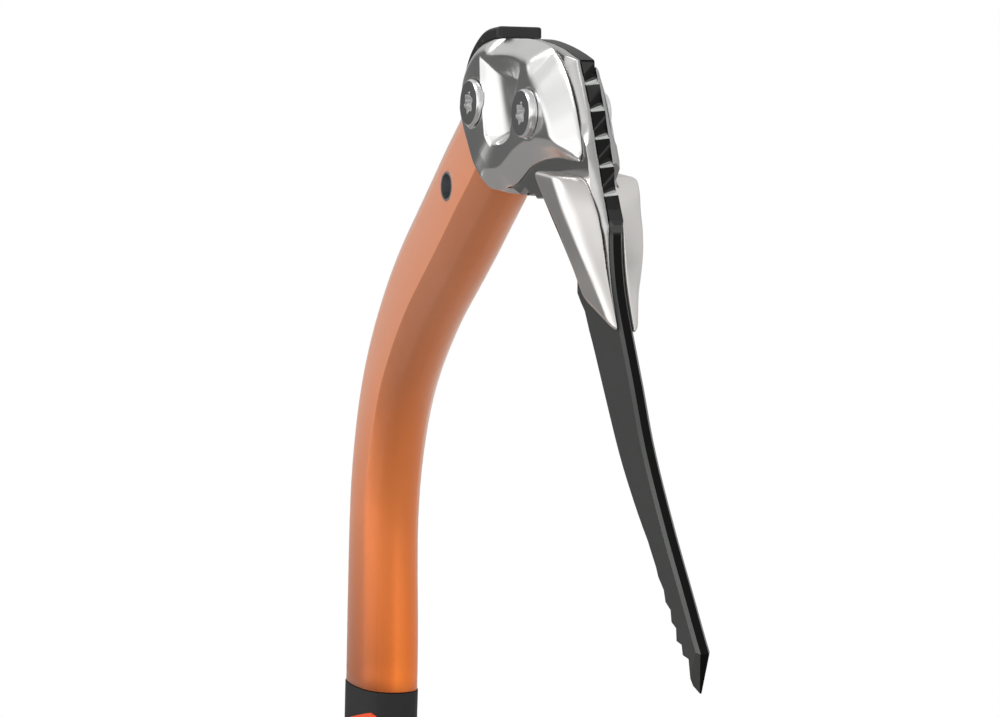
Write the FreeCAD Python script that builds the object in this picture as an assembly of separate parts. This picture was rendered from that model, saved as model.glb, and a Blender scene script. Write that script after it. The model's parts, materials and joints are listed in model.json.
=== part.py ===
import FreeCAD, Part
import os, math
from FreeCAD import Vector as V

# Technical ice axe, in millimetres.
# +X points towards the pick and +Z up along the lower shaft; the tool's plane
# of symmetry is Y = 0.  The origin is the centre of the clip hole that runs
# across the top of the shaft.  In piece names, left is -Y and right is +Y.
# Side-view points are (x, z) pairs.
os.makedirs("parts", exist_ok=True)

LEFT, RIGHT = -1, 1
SIDES = (LEFT, RIGHT)

# ---------------------------------------------------------------- dimensions
GAP = 0.06              # assembly gap between neighbouring plates
HOLE_CLEARANCE = 0.05   # radial play of screws, bolts and bushing
PICK_T = 4.0
PLATE_IN = PICK_T / 2 + GAP     # inner face of each tongue plate, from Y = 0
PLATE_OUT = 4.6                 # outer face of each tongue plate, from Y = 0
CHEEK_Y = 9.6           # outer face of each head cheek
BUSH_R = 4.25           # bore across the shaft for the bushing
CLIP_R = 3.65           # clip hole, inside the bushing
WALL = 1.6              # shaft tube wall

BOLT_FACE_Y = 12.3      # outer face of the pick bolts and nuts
BOLT_HEAD_R = 13.2 / 2
BOLT_SHANK_R = 3.0
NUT_BARREL_R = 4.5
FRONT_BOLT = (60.0, 17.8)
REAR_BOLT = (22.5, 22.6)

WEIGHT_SCREW = (83.5, -13.0)
WEIGHT_SCREW_R = 2.5
WEIGHT_HEAD_R = 4.2
WEIGHT_HEAD_Y = 10.0    # depth datum of the screw head

HAMMER_HALF_W = 6.5
HAMMER_T = 3.4

GRIP_OUT = 0.25         # how far the rubber stands proud of the bare tube
GRIP_Z = -147.3         # height at which the tube steps down under the rubber
GRIP_END = -9.3         # lower end of the upper grip, along the handle
TUBE_A, TUBE_B = 12.5, 9.0      # half depth and half width of the handle tube

# upper shaft axis, leaning forward into the head
AXIS_START = (-6.7, -6.4)
AXIS_DIR = (0.8, 0.6)
AXIS_DOWN = (-AXIS_DIR[0], -AXIS_DIR[1])
SHOULDER = 30.5         # where the tube meets the head, along the axis
HEAD_BASE = SHOULDER + 0.02
FLOOR = 34.4            # floor of the pick slot, along the axis

# straight handle
HANDLE_ANGLE = math.radians(18.0)
HANDLE_START = (-72.5, -248.0)
HANDLE_DOWN = (math.sin(HANDLE_ANGLE), -math.cos(HANDLE_ANGLE))
HANDLE_FWD = (math.cos(HANDLE_ANGLE), math.sin(HANDLE_ANGLE))
HANDLE_DOWN_3D = V(HANDLE_DOWN[0], 0, HANDLE_DOWN[1])
HANDLE_FWD_3D = V(HANDLE_FWD[0], 0, HANDLE_FWD[1])

# places given along and across the handle
REST_SCREW = 1.0        # screw of the upper rest, along the handle
REST_SCREW_R = 2.0
REST_HEAD_R = 3.5
PLUG_PIN = 92.0         # pin through tube and plug, along the handle
PIN_HOLE_R = 2.0
PLUG_FLAT = -11.6       # flat on the back of the end plug, across the handle
SPIKE_T = 4.0
SPIKE_BOLT_R = 2.0
SPIKE_HOLE_R = SPIKE_BOLT_R + HOLE_CLEARANCE
SPIKE_HEAD_R = 3.6
SPIKE_SEAT_Y = 6.6      # floor of the seats for spike bolts and nuts
SPIKE_FACE_Y = 8.4      # outer face of spike bolts and nuts
TETHER_R = 5.0
COLLAR_TOP = 125.0      # lower rest, along the handle
COLLAR_LENGTH = 15.0
COLLAR_BOTTOM = COLLAR_TOP + COLLAR_LENGTH
LEVER_PIVOT = (COLLAR_TOP + 7.5, -17.6)     # along, across
LEVER_PIN_R = 1.5
LEVER_HALF_W = 3.85


# ------------------------------------------------------- side-view positions
def on_axis(along, across):
    """Side-view point up the upper shaft axis; across is forward and down."""
    return (AXIS_START[0] + AXIS_DIR[0] * along + AXIS_DIR[1] * across,
            AXIS_START[1] + AXIS_DIR[1] * along - AXIS_DIR[0] * across)


def on_handle(along, across):
    """Side-view point down the handle; across is forward of its axis."""
    return (HANDLE_START[0] + HANDLE_DOWN[0] * along + HANDLE_FWD[0] * across,
            HANDLE_START[1] + HANDLE_DOWN[1] * along + HANDLE_FWD[1] * across)


SPIKE_BOLTS = [on_handle(146.0, -5.5), on_handle(146.0, 5.5)]


def handle_points(points, along0=0.0, across0=0.0):
    """Side-view points from (along, across) pairs measured from an offset."""
    return [on_handle(along0 + along, across0 + across) for along, across in points]


def handle_outline(segments, along0=0.0, across0=0.0):
    """Outline segments whose points are (along, across) pairs."""
    return [(kind, handle_points(points, along0, across0)) for kind, points in segments]


def unit(direction):
    length = math.hypot(direction[0], direction[1])
    return (direction[0] / length, direction[1] / length)


# ------------------------------------------------------------ shape helpers
def at_y(point, y):
    return V(point[0], y, point[1])


def closed_polygon(corners):
    return Part.makePolygon(corners + [corners[0]])


def side_polygon(points, y):
    return closed_polygon([at_y(point, y) for point in points])


def outline(segments, y):
    """Closed wire at constant Y from ('L' line or 'S' spline, points) segments.
    A segment that starts away from the last point is joined to it."""
    edges = []
    first = last = None
    for kind, points in segments:
        places = [at_y(point, y) for point in points]
        if last is None:
            first = places[0]
        elif (places[0] - last).Length > 1e-6:
            places = [last] + places
        if kind == 'S' and len(places) > 2:
            curve = Part.BSplineCurve()
            curve.interpolate(places)
            edges.append(curve.toShape())
        else:
            for start, end in zip(places[:-1], places[1:]):
                edges.append(Part.makeLine(start, end))
        last = places[-1]
    if (last - first).Length > 1e-6:
        edges.append(Part.makeLine(last, first))
    return Part.Wire(edges)


def prism(shape, y0, y1):
    """Side-view outline, as segments or plain points, extruded from y0 to y1."""
    if not isinstance(shape[0][0], str):
        shape = [('L', shape)]
    return Part.Face(outline(shape, y0)).extrude(V(0, y1 - y0, 0))


def sym_prism(shape, half_width):
    return prism(shape, -half_width, half_width)


def block(place, along0, along1, across0, across1, half_width):
    """Four-sided prism in the on_axis or on_handle frame."""
    return sym_prism([place(along0, across0), place(along0, across1),
                      place(along1, across1), place(along1, across0)], half_width)


def span(side, near, far):
    """Y range from near to far on one side, lowest first."""
    return sorted((side * near, side * far))


def cylinder_y(centre, radius, y0, y1):
    return Part.makeCylinder(radius, y1 - y0, at_y(centre, y0), V(0, 1, 0))


def cylinder_forward(along, across0, across1, radius):
    """Cylinder running forward across the handle."""
    start = at_y(on_handle(along, across0), 0)
    return Part.makeCylinder(radius, across1 - across0, start, HANDLE_FWD_3D)


def rounded_polygon(corners, radii):
    """Closed wire with corner i rounded by radii[i], as far as the sides allow."""
    arcs = []
    for i, corner in enumerate(corners):
        back = corners[i - 1] - corner
        ahead = corners[(i + 1) % len(corners)] - corner
        limit = 0.45 * min(back.Length, ahead.Length)
        back = back * (1 / back.Length)
        ahead = ahead * (1 / ahead.Length)
        half_angle = math.acos(max(-1, min(1, back.dot(ahead)))) / 2
        reach = min(radii[i] / math.tan(half_angle), limit)
        radius = reach * math.tan(half_angle)
        bisector = back + ahead
        bisector = bisector * (1 / bisector.Length)
        middle = corner + bisector * (radius / math.sin(half_angle) - radius)
        arcs.append((corner + back * reach, middle, corner + ahead * reach))
    edges = []
    for i, arc in enumerate(arcs):
        edges.append(Part.Arc(*arc).toShape())
        edges.append(Part.makeLine(arc[2], arcs[(i + 1) % len(arcs)][0]))
    return Part.Wire(edges)


def clean(shape):
    """Merge split faces and unwrap a lone solid."""
    shape = shape.removeSplitter()
    if shape.ShapeType != 'Solid' and len(shape.Solids) == 1:
        shape = shape.Solids[0]
    return shape


def lobed_recess(centre, face_y, side, depth, radius=1.9, lobe_r=0.62):
    """Six-lobed drive recess, cut inward from face_y."""
    y0, y1 = sorted((face_y + side * 0.5, face_y - side * depth))
    recess = cylinder_y(centre, radius, y0, y1)
    for k in range(6):
        angle = math.radians(60 * k + 15)
        lobe = (centre[0] + radius * math.cos(angle), centre[1] + radius * math.sin(angle))
        recess = recess.fuse(cylinder_y(lobe, lobe_r, y0, y1))
    return recess


# ------------------------------------------------------------- tube sections
def ring(centre, direction, half_depth, half_width, crease, grow=0.0):
    """Tube section square to a side-view direction.
    crease (0..1) sharpens the front; grow offsets the whole section."""
    direction = unit(direction)
    forward = (-direction[1], direction[0])
    depth = half_depth + grow
    width = half_width + grow

    def point(across, y):
        return V(centre[0] + forward[0] * across, y, centre[1] + forward[1] * across)

    def corner(sharp):
        """(across, y) at the start, middle and end of a corner arc."""
        return [((0.50 - 0.04 * sharp) * depth, (0.925 + 0.065 * sharp) * width),
                ((0.69 - 0.035 * sharp) * depth, (0.818 - 0.013 * sharp) * width),
                ((0.85 - 0.02 * sharp) * depth, (0.645 - 0.045 * sharp) * width)]

    front_left = [point(across, -y) for across, y in corner(crease)]
    front_right = [point(across, y) for across, y in corner(crease)]
    back_left = [point(-across, -y) for across, y in corner(0)]
    back_right = [point(-across, y) for across, y in corner(0)]
    arcs = [
        (back_left[0], point(0, -width), front_left[0]),
        front_left,
        (front_left[2], point(depth, 0), front_right[2]),
        front_right[::-1],
        (front_right[0], point(0, width), back_right[0]),
        back_right,
        (back_right[2], point(-depth, 0), back_left[2]),
        back_left[::-1],
    ]
    return Part.Wire([Part.Arc(*arc).toShape() for arc in arcs])


def axis_ring(along, half_depth, half_width, crease, grow=0.0):
    return ring(on_axis(along, 0), AXIS_DOWN, half_depth, half_width, crease, grow)


def handle_loft(sections, grow=0.0):
    """Smooth solid through (along, half depth, half width) handle sections."""
    return Part.makeLoft([ring(on_handle(along, 0), HANDLE_DOWN, half_depth, half_width, 0.0, grow)
                          for along, half_depth, half_width in sections], True, False)


# outer form, top to bottom: x, z, half depth, half width, crease
STATIONS = [
    (*on_axis(SHOULDER, 0), 17.7, 9.8, 1.0),
    (*on_axis(15, 0), 17.7, 9.8, 1.0),
    (*AXIS_START, 17.6, 9.8, 1.0),
    (-22.1, -17.6, 17.2, 9.7, 1.0),
    (-37.4, -29.0, 16.6, 9.6, 1.0),
    (-49.9, -40.7, 15.9, 9.4, 0.9),
    (-59.8, -52.6, 15.0, 9.25, 0.8),
    (-66.6, -64.6, 14.4, 9.15, 0.6),
    (-71.0, -76.7, 13.9, 9.1, 0.4),
    (-74.2, -91.0, 13.5, 9.1, 0.2),
    (-75.5, -105.0, 13.5, 9.1, 0.1),
    (-76.2, -131.0, 14.0, 9.35, 0.0),
    (-77.5, -155.4, 14.0, 9.35, 0.0),
    (-79.5, -182.0, 13.8, 9.2, 0.0),
    (-79.5, -208.0, 13.6, 9.1, 0.0),
    (-77.0, -230.0, 13.2, 9.0, 0.0),
    (*HANDLE_START, 12.8, 9.0, 0.0),
    (*on_handle(36, 0), TUBE_A, TUBE_B, 0.0),
    (*on_handle(72, 0), TUBE_A, TUBE_B, 0.0),
    (*on_handle(108, 0), TUBE_A, TUBE_B, 0.0),
]

# narrower tube under the rubber, same columns
LOW_STATIONS = [
    (-76.9, GRIP_Z + 3.0, 12.6, 8.0, 0.0),
    (-78.4, -168.0, 12.5, 7.95, 0.0),
    (-79.5, -190.0, 12.4, 7.9, 0.0),
    (-79.2, -212.0, 12.3, 7.9, 0.0),
    (-77.0, -230.0, 12.2, 8.0, 0.0),
    (*HANDLE_START, 12.2, 8.3, 0.0),
    (*on_handle(20, 0), 12.4, 8.8, 0.0),
    (*on_handle(48, 0), TUBE_A, TUBE_B, 0.0),
    (*on_handle(78, 0), TUBE_A, TUBE_B, 0.0),
    (*on_handle(108, 0), TUBE_A, TUBE_B, 0.0),
]
STEP_DIR = (-0.04, -1.0)    # tube direction at the step


def directions(stations, top_dir, top_count, handle_count):
    """Tube direction at each station: given at the top, the handle's at the
    bottom, from neighbour to neighbour between."""
    result = []
    for i in range(len(stations)):
        if i < top_count:
            result.append(top_dir)
        elif i >= len(stations) - handle_count:
            result.append(HANDLE_DOWN)
        else:
            before, after = stations[i - 1], stations[i + 1]
            result.append((after[0] - before[0], after[1] - before[1]))
    return result


STATION_DIRS = directions(STATIONS, AXIS_DOWN, 2, 4)
LOW_DIRS = directions(LOW_STATIONS, STEP_DIR, 1, 5)


def loft_stations(stations, dirs, grow, top=0.0, bottom=0.0):
    """Solid through stations, grown, its ends moved out by top and bottom."""
    shifts = [-top] + [0.0] * (len(stations) - 2) + [bottom]
    wires = []
    for (x, z, half_depth, half_width, crease), direction, shift in zip(stations, dirs, shifts):
        direction = unit(direction)
        centre = (x + direction[0] * shift, z + direction[1] * shift)
        wires.append(ring(centre, direction, half_depth, half_width, crease, grow))
    return Part.makeLoft(wires, True, False)


def outer_form(grow, top=0.0, bottom=0.0):
    """Bare tube above and rubber below."""
    return loft_stations(STATIONS, STATION_DIRS, grow, top, bottom)


def low_tube(grow, top=0.0, bottom=0.0):
    return loft_stations(LOW_STATIONS, LOW_DIRS, grow, top, bottom)


def tube_clearance():
    """Room for the tube inside the grips and the upper rest."""
    return low_tube(0.06, bottom=2.0)


# --------------------------------------------------------- shaft and bushing
def make_shaft():
    above_step = prism([(-130, GRIP_Z + 6.9), (-77.0, GRIP_Z), (-63.0, GRIP_Z - 1.8),
                        (0, GRIP_Z - 10.0), (60, 60), (-130, 60)], -40, 40)
    outer = outer_form(0.0).common(above_step).fuse(low_tube(0.0))
    upper_bore = outer_form(-WALL, top=1.0, bottom=1.0).common(
        Part.makeBox(400, 80, 400, V(-200, -40, GRIP_Z + 5.0)))
    inner = upper_bore.fuse(low_tube(-WALL, top=1.0, bottom=1.0))
    # short conical passage that joins the two bores inside the step
    link = Part.makeLoft([ring((-76.8, GRIP_Z + 5.4), STEP_DIR, 14.0, 9.35, 0.0, -WALL),
                          ring((-77.0, GRIP_Z + 1.0), STEP_DIR, 12.6, 8.0, 0.0, -WALL)],
                         True, True)
    shaft = outer.cut(inner.fuse(link))
    shaft = shaft.cut(cylinder_y((0, 0), BUSH_R, -14, 14))
    shaft = shaft.cut(cylinder_forward(REST_SCREW, -20, -6, REST_SCREW_R + HOLE_CLEARANCE))
    shaft = shaft.cut(cylinder_y(on_handle(PLUG_PIN, 0), PIN_HOLE_R, -20, 20))
    return clean(shaft)


def make_bushing():
    sleeve = cylinder_y((0, 0), BUSH_R - HOLE_CLEARANCE, -9.95, 9.95)
    return sleeve.cut(cylinder_y((0, 0), CLIP_R, -14, 14))


# -------------------------------------------------------------------- pick
# side-view outline, clockwise from the top of the head
PICK_TOP = [(36.0, 39.6), (42.5, 39.5), (50.6, 38.8), (60.3, 36.9), (67.2, 35.1), (77.6, 31.6)]
PICK_FRONT = [
    (77.6, 31.6), (82.0, 23.4), (84.7, 17.8), (86.9, 12.2), (89.0, 6.7), (91.1, 1.2),
    (93.1, -4.2), (95.5, -9.5), (97.6, -13.6)]
PICK_SPINE = [
    (97.6, -13.6), (97.3, -18.0), (97.9, -24.0), (99.4, -30.9), (101.4, -36.3), (103.8, -41.6),
    (106.3, -46.9), (108.8, -52.2), (111.2, -57.4), (115.7, -67.9), (121.2, -78.3),
    (127.5, -88.5), (134.2, -98.7), (141.2, -108.7), (147.9, -118.6), (152.1, -124.5)]
PICK_TIP = [(152.1, -124.5), (149.6, -134.8), (148.0, -132.9), (146.5, -126.1)]
PICK_TEETH = [
    (146.5, -126.1), (143.0, -125.3), (142.3, -122.7), (139.2, -121.9), (138.9, -118.6),
    (136.1, -117.2), (135.5, -114.1), (132.4, -112.2), (131.3, -109.1), (127.9, -105.9),
    (126.5, -103.4), (123.1, -99.1), (121.3, -96.7)]
PICK_BELLY = [
    (121.3, -96.7), (118.0, -93.2), (114.0, -88.6), (110.1, -83.8), (106.1, -78.6),
    (102.5, -73.4), (99.2, -68.1), (96.1, -62.9), (93.0, -57.6), (89.8, -52.2),
    (86.7, -46.9), (83.3, -41.5)]
PICK_HEEL = [
    (83.3, -41.5), (80.4, -36.4), (77.9, -34.1), (75.4, -31.4), (75.4, -28.2), (73.0, -25.4),
    (67.6, -20.0), (62.3, -14.8), (57.0, -9.8), (52.5, -5.4), (50.7, -3.9), (48.5, -4.5),
    (44.7, -2.1), (41.2, -3.9), (34.0, -1.4)]
PICK_REAR = [
    on_axis(FLOOR + 0.3, 13.0), on_axis(FLOOR + 0.3, -13.0), (12.6, 30.0), (13.6, 33.6),
    (17.4, 37.0), (23.0, 39.0), (30.0, 39.6), (36.0, 39.6)]

SPINE_CHAMFER = 0.85

# ground tip faces: half thickness at the top of the tip, and its slopes
TIP_HALF_T = 1.3
TIP_SLOPE_X = -0.471
TIP_SLOPE_Z = 0.2184

# scallops of the front edge, measured down that edge
SCALLOP_COUNT = 5
SCALLOP_PITCH = 8.2
SCALLOP_FIRST = 0.9 + 4.1
# radius, depth, shift down the edge at each face of the pick
SCALLOP_WIDE = (5.1, 1.7, -0.3)         # +Y face
SCALLOP_NARROW = (2.3, 0.9, 1.7)        # -Y face
SCALLOP_OVERRUN = 1.6


def ease_spine(pick):
    """Chamfer the two long edges of the spine."""
    edges = []
    for edge in pick.Edges:
        middle = edge.valueAt((edge.FirstParameter + edge.LastParameter) / 2)
        on_face = abs(abs(middle.y) - PICK_T / 2) < 1e-3
        if on_face and edge.Length > 100 and middle.z < -40 and middle.x > 105:
            if min((middle - at_y(point, middle.y)).Length for point in PICK_SPINE) < 8:
                edges.append(edge)
    # the chamfer may fail on the spline edges; the pick then stays square
    try:
        eased = pick.makeChamfer(SPINE_CHAMFER, edges)
        if eased.isValid() and len(eased.Solids) == 1:
            return eased
    except Exception:
        pass
    return pick


def grind_tip(pick):
    """Taper the tip to a point from both sides."""
    for side in SIDES:
        corners = []
        for x, z in [(140.0, -108.0), (166.0, -108.0), (166.0, -146.0), (140.0, -146.0)]:
            half = (TIP_HALF_T + TIP_SLOPE_X * (x - PICK_TIP[0][0])
                    + TIP_SLOPE_Z * (z - PICK_TIP[0][1]))
            corners.append(V(x, side * half, z))
        pick = pick.cut(Part.Face(closed_polygon(corners)).extrude(V(0, side * 30.0, 0)))
    return pick


def along_front(distance):
    """Point down the front edge, with outward normal and tangent."""
    passed = 0.0
    for start, end in zip(PICK_FRONT[:-1], PICK_FRONT[1:]):
        length = math.hypot(end[0] - start[0], end[1] - start[1])
        if passed + length >= distance:
            tangent = unit((end[0] - start[0], end[1] - start[1]))
            rest = distance - passed
            point = (start[0] + tangent[0] * rest, start[1] + tangent[1] * rest)
            return point, (-tangent[1], tangent[0]), tangent
        passed += length


def scallop(distance):
    """Cone across the pick, wide at +Y and narrow at -Y."""
    point, normal, tangent = along_front(distance)

    def centre(radius, depth, shift, y):
        out = radius - depth
        return V(point[0] + tangent[0] * shift + normal[0] * out, y,
                 point[1] + tangent[1] * shift + normal[1] * out)

    narrow = centre(*SCALLOP_NARROW, -PICK_T / 2)
    wide = centre(*SCALLOP_WIDE, PICK_T / 2)
    length = (wide - narrow).Length
    direction = (wide - narrow) * (1 / length)
    widening = (SCALLOP_WIDE[0] - SCALLOP_NARROW[0]) / length * SCALLOP_OVERRUN
    return Part.makeCone(SCALLOP_NARROW[0] - widening, SCALLOP_WIDE[0] + widening,
                         length + 2 * SCALLOP_OVERRUN,
                         narrow - direction * SCALLOP_OVERRUN, direction)


def make_pick():
    pick = sym_prism([('S', PICK_TOP), ('S', PICK_FRONT), ('S', PICK_SPINE), ('L', PICK_TIP),
                      ('L', PICK_TEETH), ('S', PICK_BELLY), ('L', PICK_HEEL),
                      ('L', PICK_REAR)], PICK_T / 2)
    pick = grind_tip(ease_spine(pick))
    for k in range(SCALLOP_COUNT):
        pick = pick.cut(scallop(SCALLOP_FIRST + SCALLOP_PITCH * k))
    for centre, radius in ((FRONT_BOLT, BOLT_SHANK_R), (REAR_BOLT, BOLT_SHANK_R),
                           (WEIGHT_SCREW, WEIGHT_SCREW_R)):
        pick = pick.cut(cylinder_y(centre, radius + HOLE_CLEARANCE, -5, 5))
    return pick


# --------------------------------------------------------- tongue plates
PLATE_TOP = [(33.8, 40.0), (42.5, 39.5), (50.6, 38.8), (60.3, 36.9), (67.2, 35.1)]
PLATE_CORNER = (77.4, 31.3)
PLATE_FRONT = [
    (81.8, 23.2), (84.5, 17.6), (86.7, 12.1), (88.8, 6.6), (90.9, 1.1), (92.9, -4.3),
    (95.3, -9.6), (97.0, -13.8), (96.7, -18.0), (97.3, -24.0), (98.8, -30.9)]
PLATE_LOW = [
    (101.9, -39.6), (87.0, -31.0), (79.0, -25.4), (73.0, -19.8), (68.0, -14.6), (61.5, -9.0),
    (57.2, -5.2), (52.5, -5.2), (50.7, -3.8), (48.5, -4.3), (44.7, -2.0), (41.2, -3.7),
    (33.8, -1.2)]
PLATE_BEVEL = 2.8       # how far the outer face's front edge is set back
# below the head the outer face slopes in to a thin tip
TAPER_TOP_Z = 2.0
TAPER_LOW_Z = -44.0
TAPER_LOW_Y = PLATE_IN + 0.15


def plate_wire(y, back):
    points = PLATE_TOP + [(PLATE_CORNER[0] - back, PLATE_CORNER[1])]
    points += [(x - back * 0.93, z - back * 0.25) for x, z in PLATE_FRONT]
    return side_polygon(points + PLATE_LOW, y)


def make_plate(side):
    plate = Part.makeLoft([plate_wire(side * PLATE_IN, 0.0),
                           plate_wire(side * PLATE_OUT, PLATE_BEVEL)], True, True)
    corners = [(PLATE_OUT, TAPER_TOP_Z), (PLATE_OUT + 6, TAPER_TOP_Z),
               (PLATE_OUT + 6, TAPER_LOW_Z), (TAPER_LOW_Y, TAPER_LOW_Z)]
    taper = Part.Face(closed_polygon([V(30, y, z) for y, z in corners])).extrude(V(90, 0, 0))
    if side == LEFT:
        taper = taper.mirror(V(0, 0, 0), V(0, 1, 0))
    plate = plate.cut(taper)
    plate = plate.cut(cylinder_y(FRONT_BOLT, BOLT_SHANK_R + HOLE_CLEARANCE, -8, 8))
    return plate.cut(cylinder_y(WEIGHT_SCREW, WEIGHT_SCREW_R + HOLE_CLEARANCE, -14, 14))


# ------------------------------------------------------------ pick weights
# z, inner front x, outer front x, rear outer x, outer y
WEIGHT_SECTIONS = [
    (4.0, 82.0, 79.5, 66.0, 12.1),
    (0.0, 85.3, 82.3, 68.5, 12.0),
    (-4.0, 89.2, 84.9, 71.6, 11.7),
    (-9.4, 93.3, 87.6, 75.7, 10.9),
    (-14.9, 95.6, 91.0, 79.6, 10.0),
    (-20.3, 96.9, 94.0, 82.4, 9.0),
    (-25.6, 98.0, 96.4, 84.5, 7.7),
    (-31.0, 99.6, 98.6, 86.0, 6.2),
    (-36.3, 101.6, 101.0, 87.5, 4.9),
    (-42.0, 104.0, 103.4, 89.5, 3.6),
]
WEIGHT_RADII = [0.35, 2.4, 1.6, 0.35]


def weight_inner_y(z):
    """Outer face of the tongue plate at height z, plus the gap."""
    slope = (PLATE_OUT - TAPER_LOW_Y) / (TAPER_TOP_Z - TAPER_LOW_Z)
    return min(PLATE_OUT, PLATE_OUT + (z - TAPER_TOP_Z) * slope) + GAP


def make_weight(side):
    wires = []
    for z, inner_x, outer_x, rear_x, outer_y in WEIGHT_SECTIONS:
        inner_y = weight_inner_y(z)
        corners = [V(inner_x, side * inner_y, z), V(outer_x, side * outer_y, z),
                   V(rear_x, side * outer_y, z), V(rear_x + 0.6, side * inner_y, z)]
        wires.append(rounded_polygon(corners, WEIGHT_RADII))
    weight = Part.makeLoft(wires, True, True)
    # the top face falls gently forward, the lower rear corner is cut off
    top = sym_prism([(60, 2.2), (66.9, 1.9), (86, -0.6), (110, -4.0), (110, 20), (60, 20)], 20)
    low = sym_prism([(60, -28.5), (84.6, -30.2), (103.6, -41.0), (110, -41.0), (110, -60),
                     (60, -60)], 20)
    weight = weight.cut(top).cut(low)
    # the screw is sunk in the right weight and ends blind in the left one
    hole_r = WEIGHT_SCREW_R + HOLE_CLEARANCE
    if side == LEFT:
        return weight.cut(cylinder_y(WEIGHT_SCREW, hole_r, -8.2, 0))
    weight = weight.cut(cylinder_y(WEIGHT_SCREW, hole_r, 0, 20))
    return weight.cut(cylinder_y(WEIGHT_SCREW, WEIGHT_HEAD_R + 0.1, WEIGHT_HEAD_Y - 2.6, 20))


def make_weight_screw():
    face = WEIGHT_HEAD_Y - 0.3
    screw = cylinder_y(WEIGHT_SCREW, WEIGHT_HEAD_R, WEIGHT_HEAD_Y - 2.55, face)
    screw = screw.fuse(cylinder_y(WEIGHT_SCREW, WEIGHT_SCREW_R, -8.1, WEIGHT_HEAD_Y - 2.5))
    return clean(screw.cut(lobed_recess(WEIGHT_SCREW, face, RIGHT, 1.6)))


# ------------------------------------------------------------- pick bolts
def button(centre, side):
    """Low head: flat face, bevel, short rim and a relief groove at the cheek."""
    base = CHEEK_Y + 0.08
    # radius, distance from the mid plane
    profile = [(0, base), (BOLT_HEAD_R - 0.75, base), (BOLT_HEAD_R - 0.75, CHEEK_Y + 0.62),
               (BOLT_HEAD_R + 0.05, CHEEK_Y + 0.72), (BOLT_HEAD_R + 0.05, BOLT_FACE_Y - 0.85),
               (BOLT_HEAD_R, BOLT_FACE_Y - 0.45), (BOLT_HEAD_R - 0.28, BOLT_FACE_Y - 0.12),
               (BOLT_HEAD_R - 0.45, BOLT_FACE_Y), (0, BOLT_FACE_Y)]
    wire = closed_polygon([V(radius, side * y, 0) for radius, y in profile])
    head = Part.Face(wire).revolve(V(0, 0, 0), V(0, 1, 0), 360)
    head.translate(at_y(centre, 0))
    return head


def pick_bolt(centre):
    bolt = button(centre, LEFT).fuse(cylinder_y(centre, BOLT_SHANK_R, -CHEEK_Y - 0.5, 10.2))
    recess = lobed_recess(centre, -BOLT_FACE_Y, LEFT, 2.0, radius=2.45, lobe_r=0.80)
    return clean(bolt.cut(recess))


def pick_nut(centre):
    nut = button(centre, RIGHT).fuse(cylinder_y(centre, NUT_BARREL_R, 5.4, CHEEK_Y + 0.5))
    return clean(nut.cut(cylinder_y(centre, BOLT_SHANK_R + 0.03, 0, 10.3)))


# --------------------------------------------------------------- head body
# middle of the head; each point pairs with the same one of HEAD_CHEEK
HEAD_CORE = [
    on_axis(HEAD_BASE, 0), on_axis(HEAD_BASE, -13.0),
    (8.5, 27.6), (9.7, 31.0), (11.9, 33.9), (15.1, 36.7), (20.0, 39.1), (26.0, 40.1), (33.8, 40.3),
    (42.5, 39.6), (50.6, 38.9), (60.3, 37.0), (67.2, 35.2),
    (71.5, 32.0), (76.8, 26.0), (81.0, 19.0), (83.3, 13.6),
    (84.7, 9.8), (85.4, 6.7), (85.0, 4.6), (83.4, 3.6),
    (78.0, 3.9), (71.0, 5.0), (63.0, 5.2), (56.0, 4.6),
    (50.0, 3.6), (45.0, 1.2), (40.5, -1.5), (36.5, -3.8), (30.5, -5.5)]
# outer face of each cheek
HEAD_CHEEK = [
    on_axis(HEAD_BASE, 0), on_axis(HEAD_BASE, -8.0),
    (13.2, 20.0), (14.4, 24.4), (16.3, 28.8), (18.2, 31.4), (21.8, 34.4), (27.0, 37.4), (33.8, 38.9),
    (42.5, 38.4), (50.6, 37.2), (57.0, 34.0), (60.3, 29.6),
    (61.8, 26.0), (63.6, 22.0), (66.2, 18.4), (69.2, 15.4),
    (72.8, 12.7), (76.4, 10.2), (79.6, 8.4), (80.4, 7.6),
    (76.0, 7.2), (71.0, 7.0), (64.5, 6.4), (58.0, 5.6),
    (52.0, 3.8), (46.5, 1.4), (41.5, -1.3), (36.5, -3.8), (30.5, -5.5)]
# along the axis, half depth, half width
NECK_SECTIONS = [(HEAD_BASE, 18.6, 10.9), (34.0, 18.4, 11.0), (41.0, 17.2, 10.4),
                 (49.0, 13.5, 9.2)]
# rim of the lightening pocket between the bolts
POCKET = [
    (27.4, 33.4), (29.4, 35.2), (34.5, 35.8), (41.8, 34.6), (50.6, 31.4), (52.6, 28.6),
    (48.4, 24.0), (47.4, 15.4), (45.6, 11.2), (36.4, 10.8), (32.4, 12.2), (29.6, 18.6),
    (27.2, 26.6)]
POCKET_FLOOR_SCALE = 0.35
POCKET_FLOOR_SHIFT = (2.0, -1.0)
POCKET_DEPTH = 2.6


def pocket(side):
    """Pocket cutter, tapering from just outside the cheek to its floor."""
    centre_x = sum(x for x, z in POCKET) / len(POCKET)
    centre_z = sum(z for x, z in POCKET) / len(POCKET)
    floor = [(centre_x + (x - centre_x) * POCKET_FLOOR_SCALE + POCKET_FLOOR_SHIFT[0],
              centre_z + (z - centre_z) * POCKET_FLOOR_SCALE + POCKET_FLOOR_SHIFT[1])
             for x, z in POCKET]
    return Part.makeLoft([side_polygon(POCKET, side * (CHEEK_Y + 0.5)),
                          side_polygon(floor, side * (CHEEK_Y - POCKET_DEPTH))], True, True)


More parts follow.
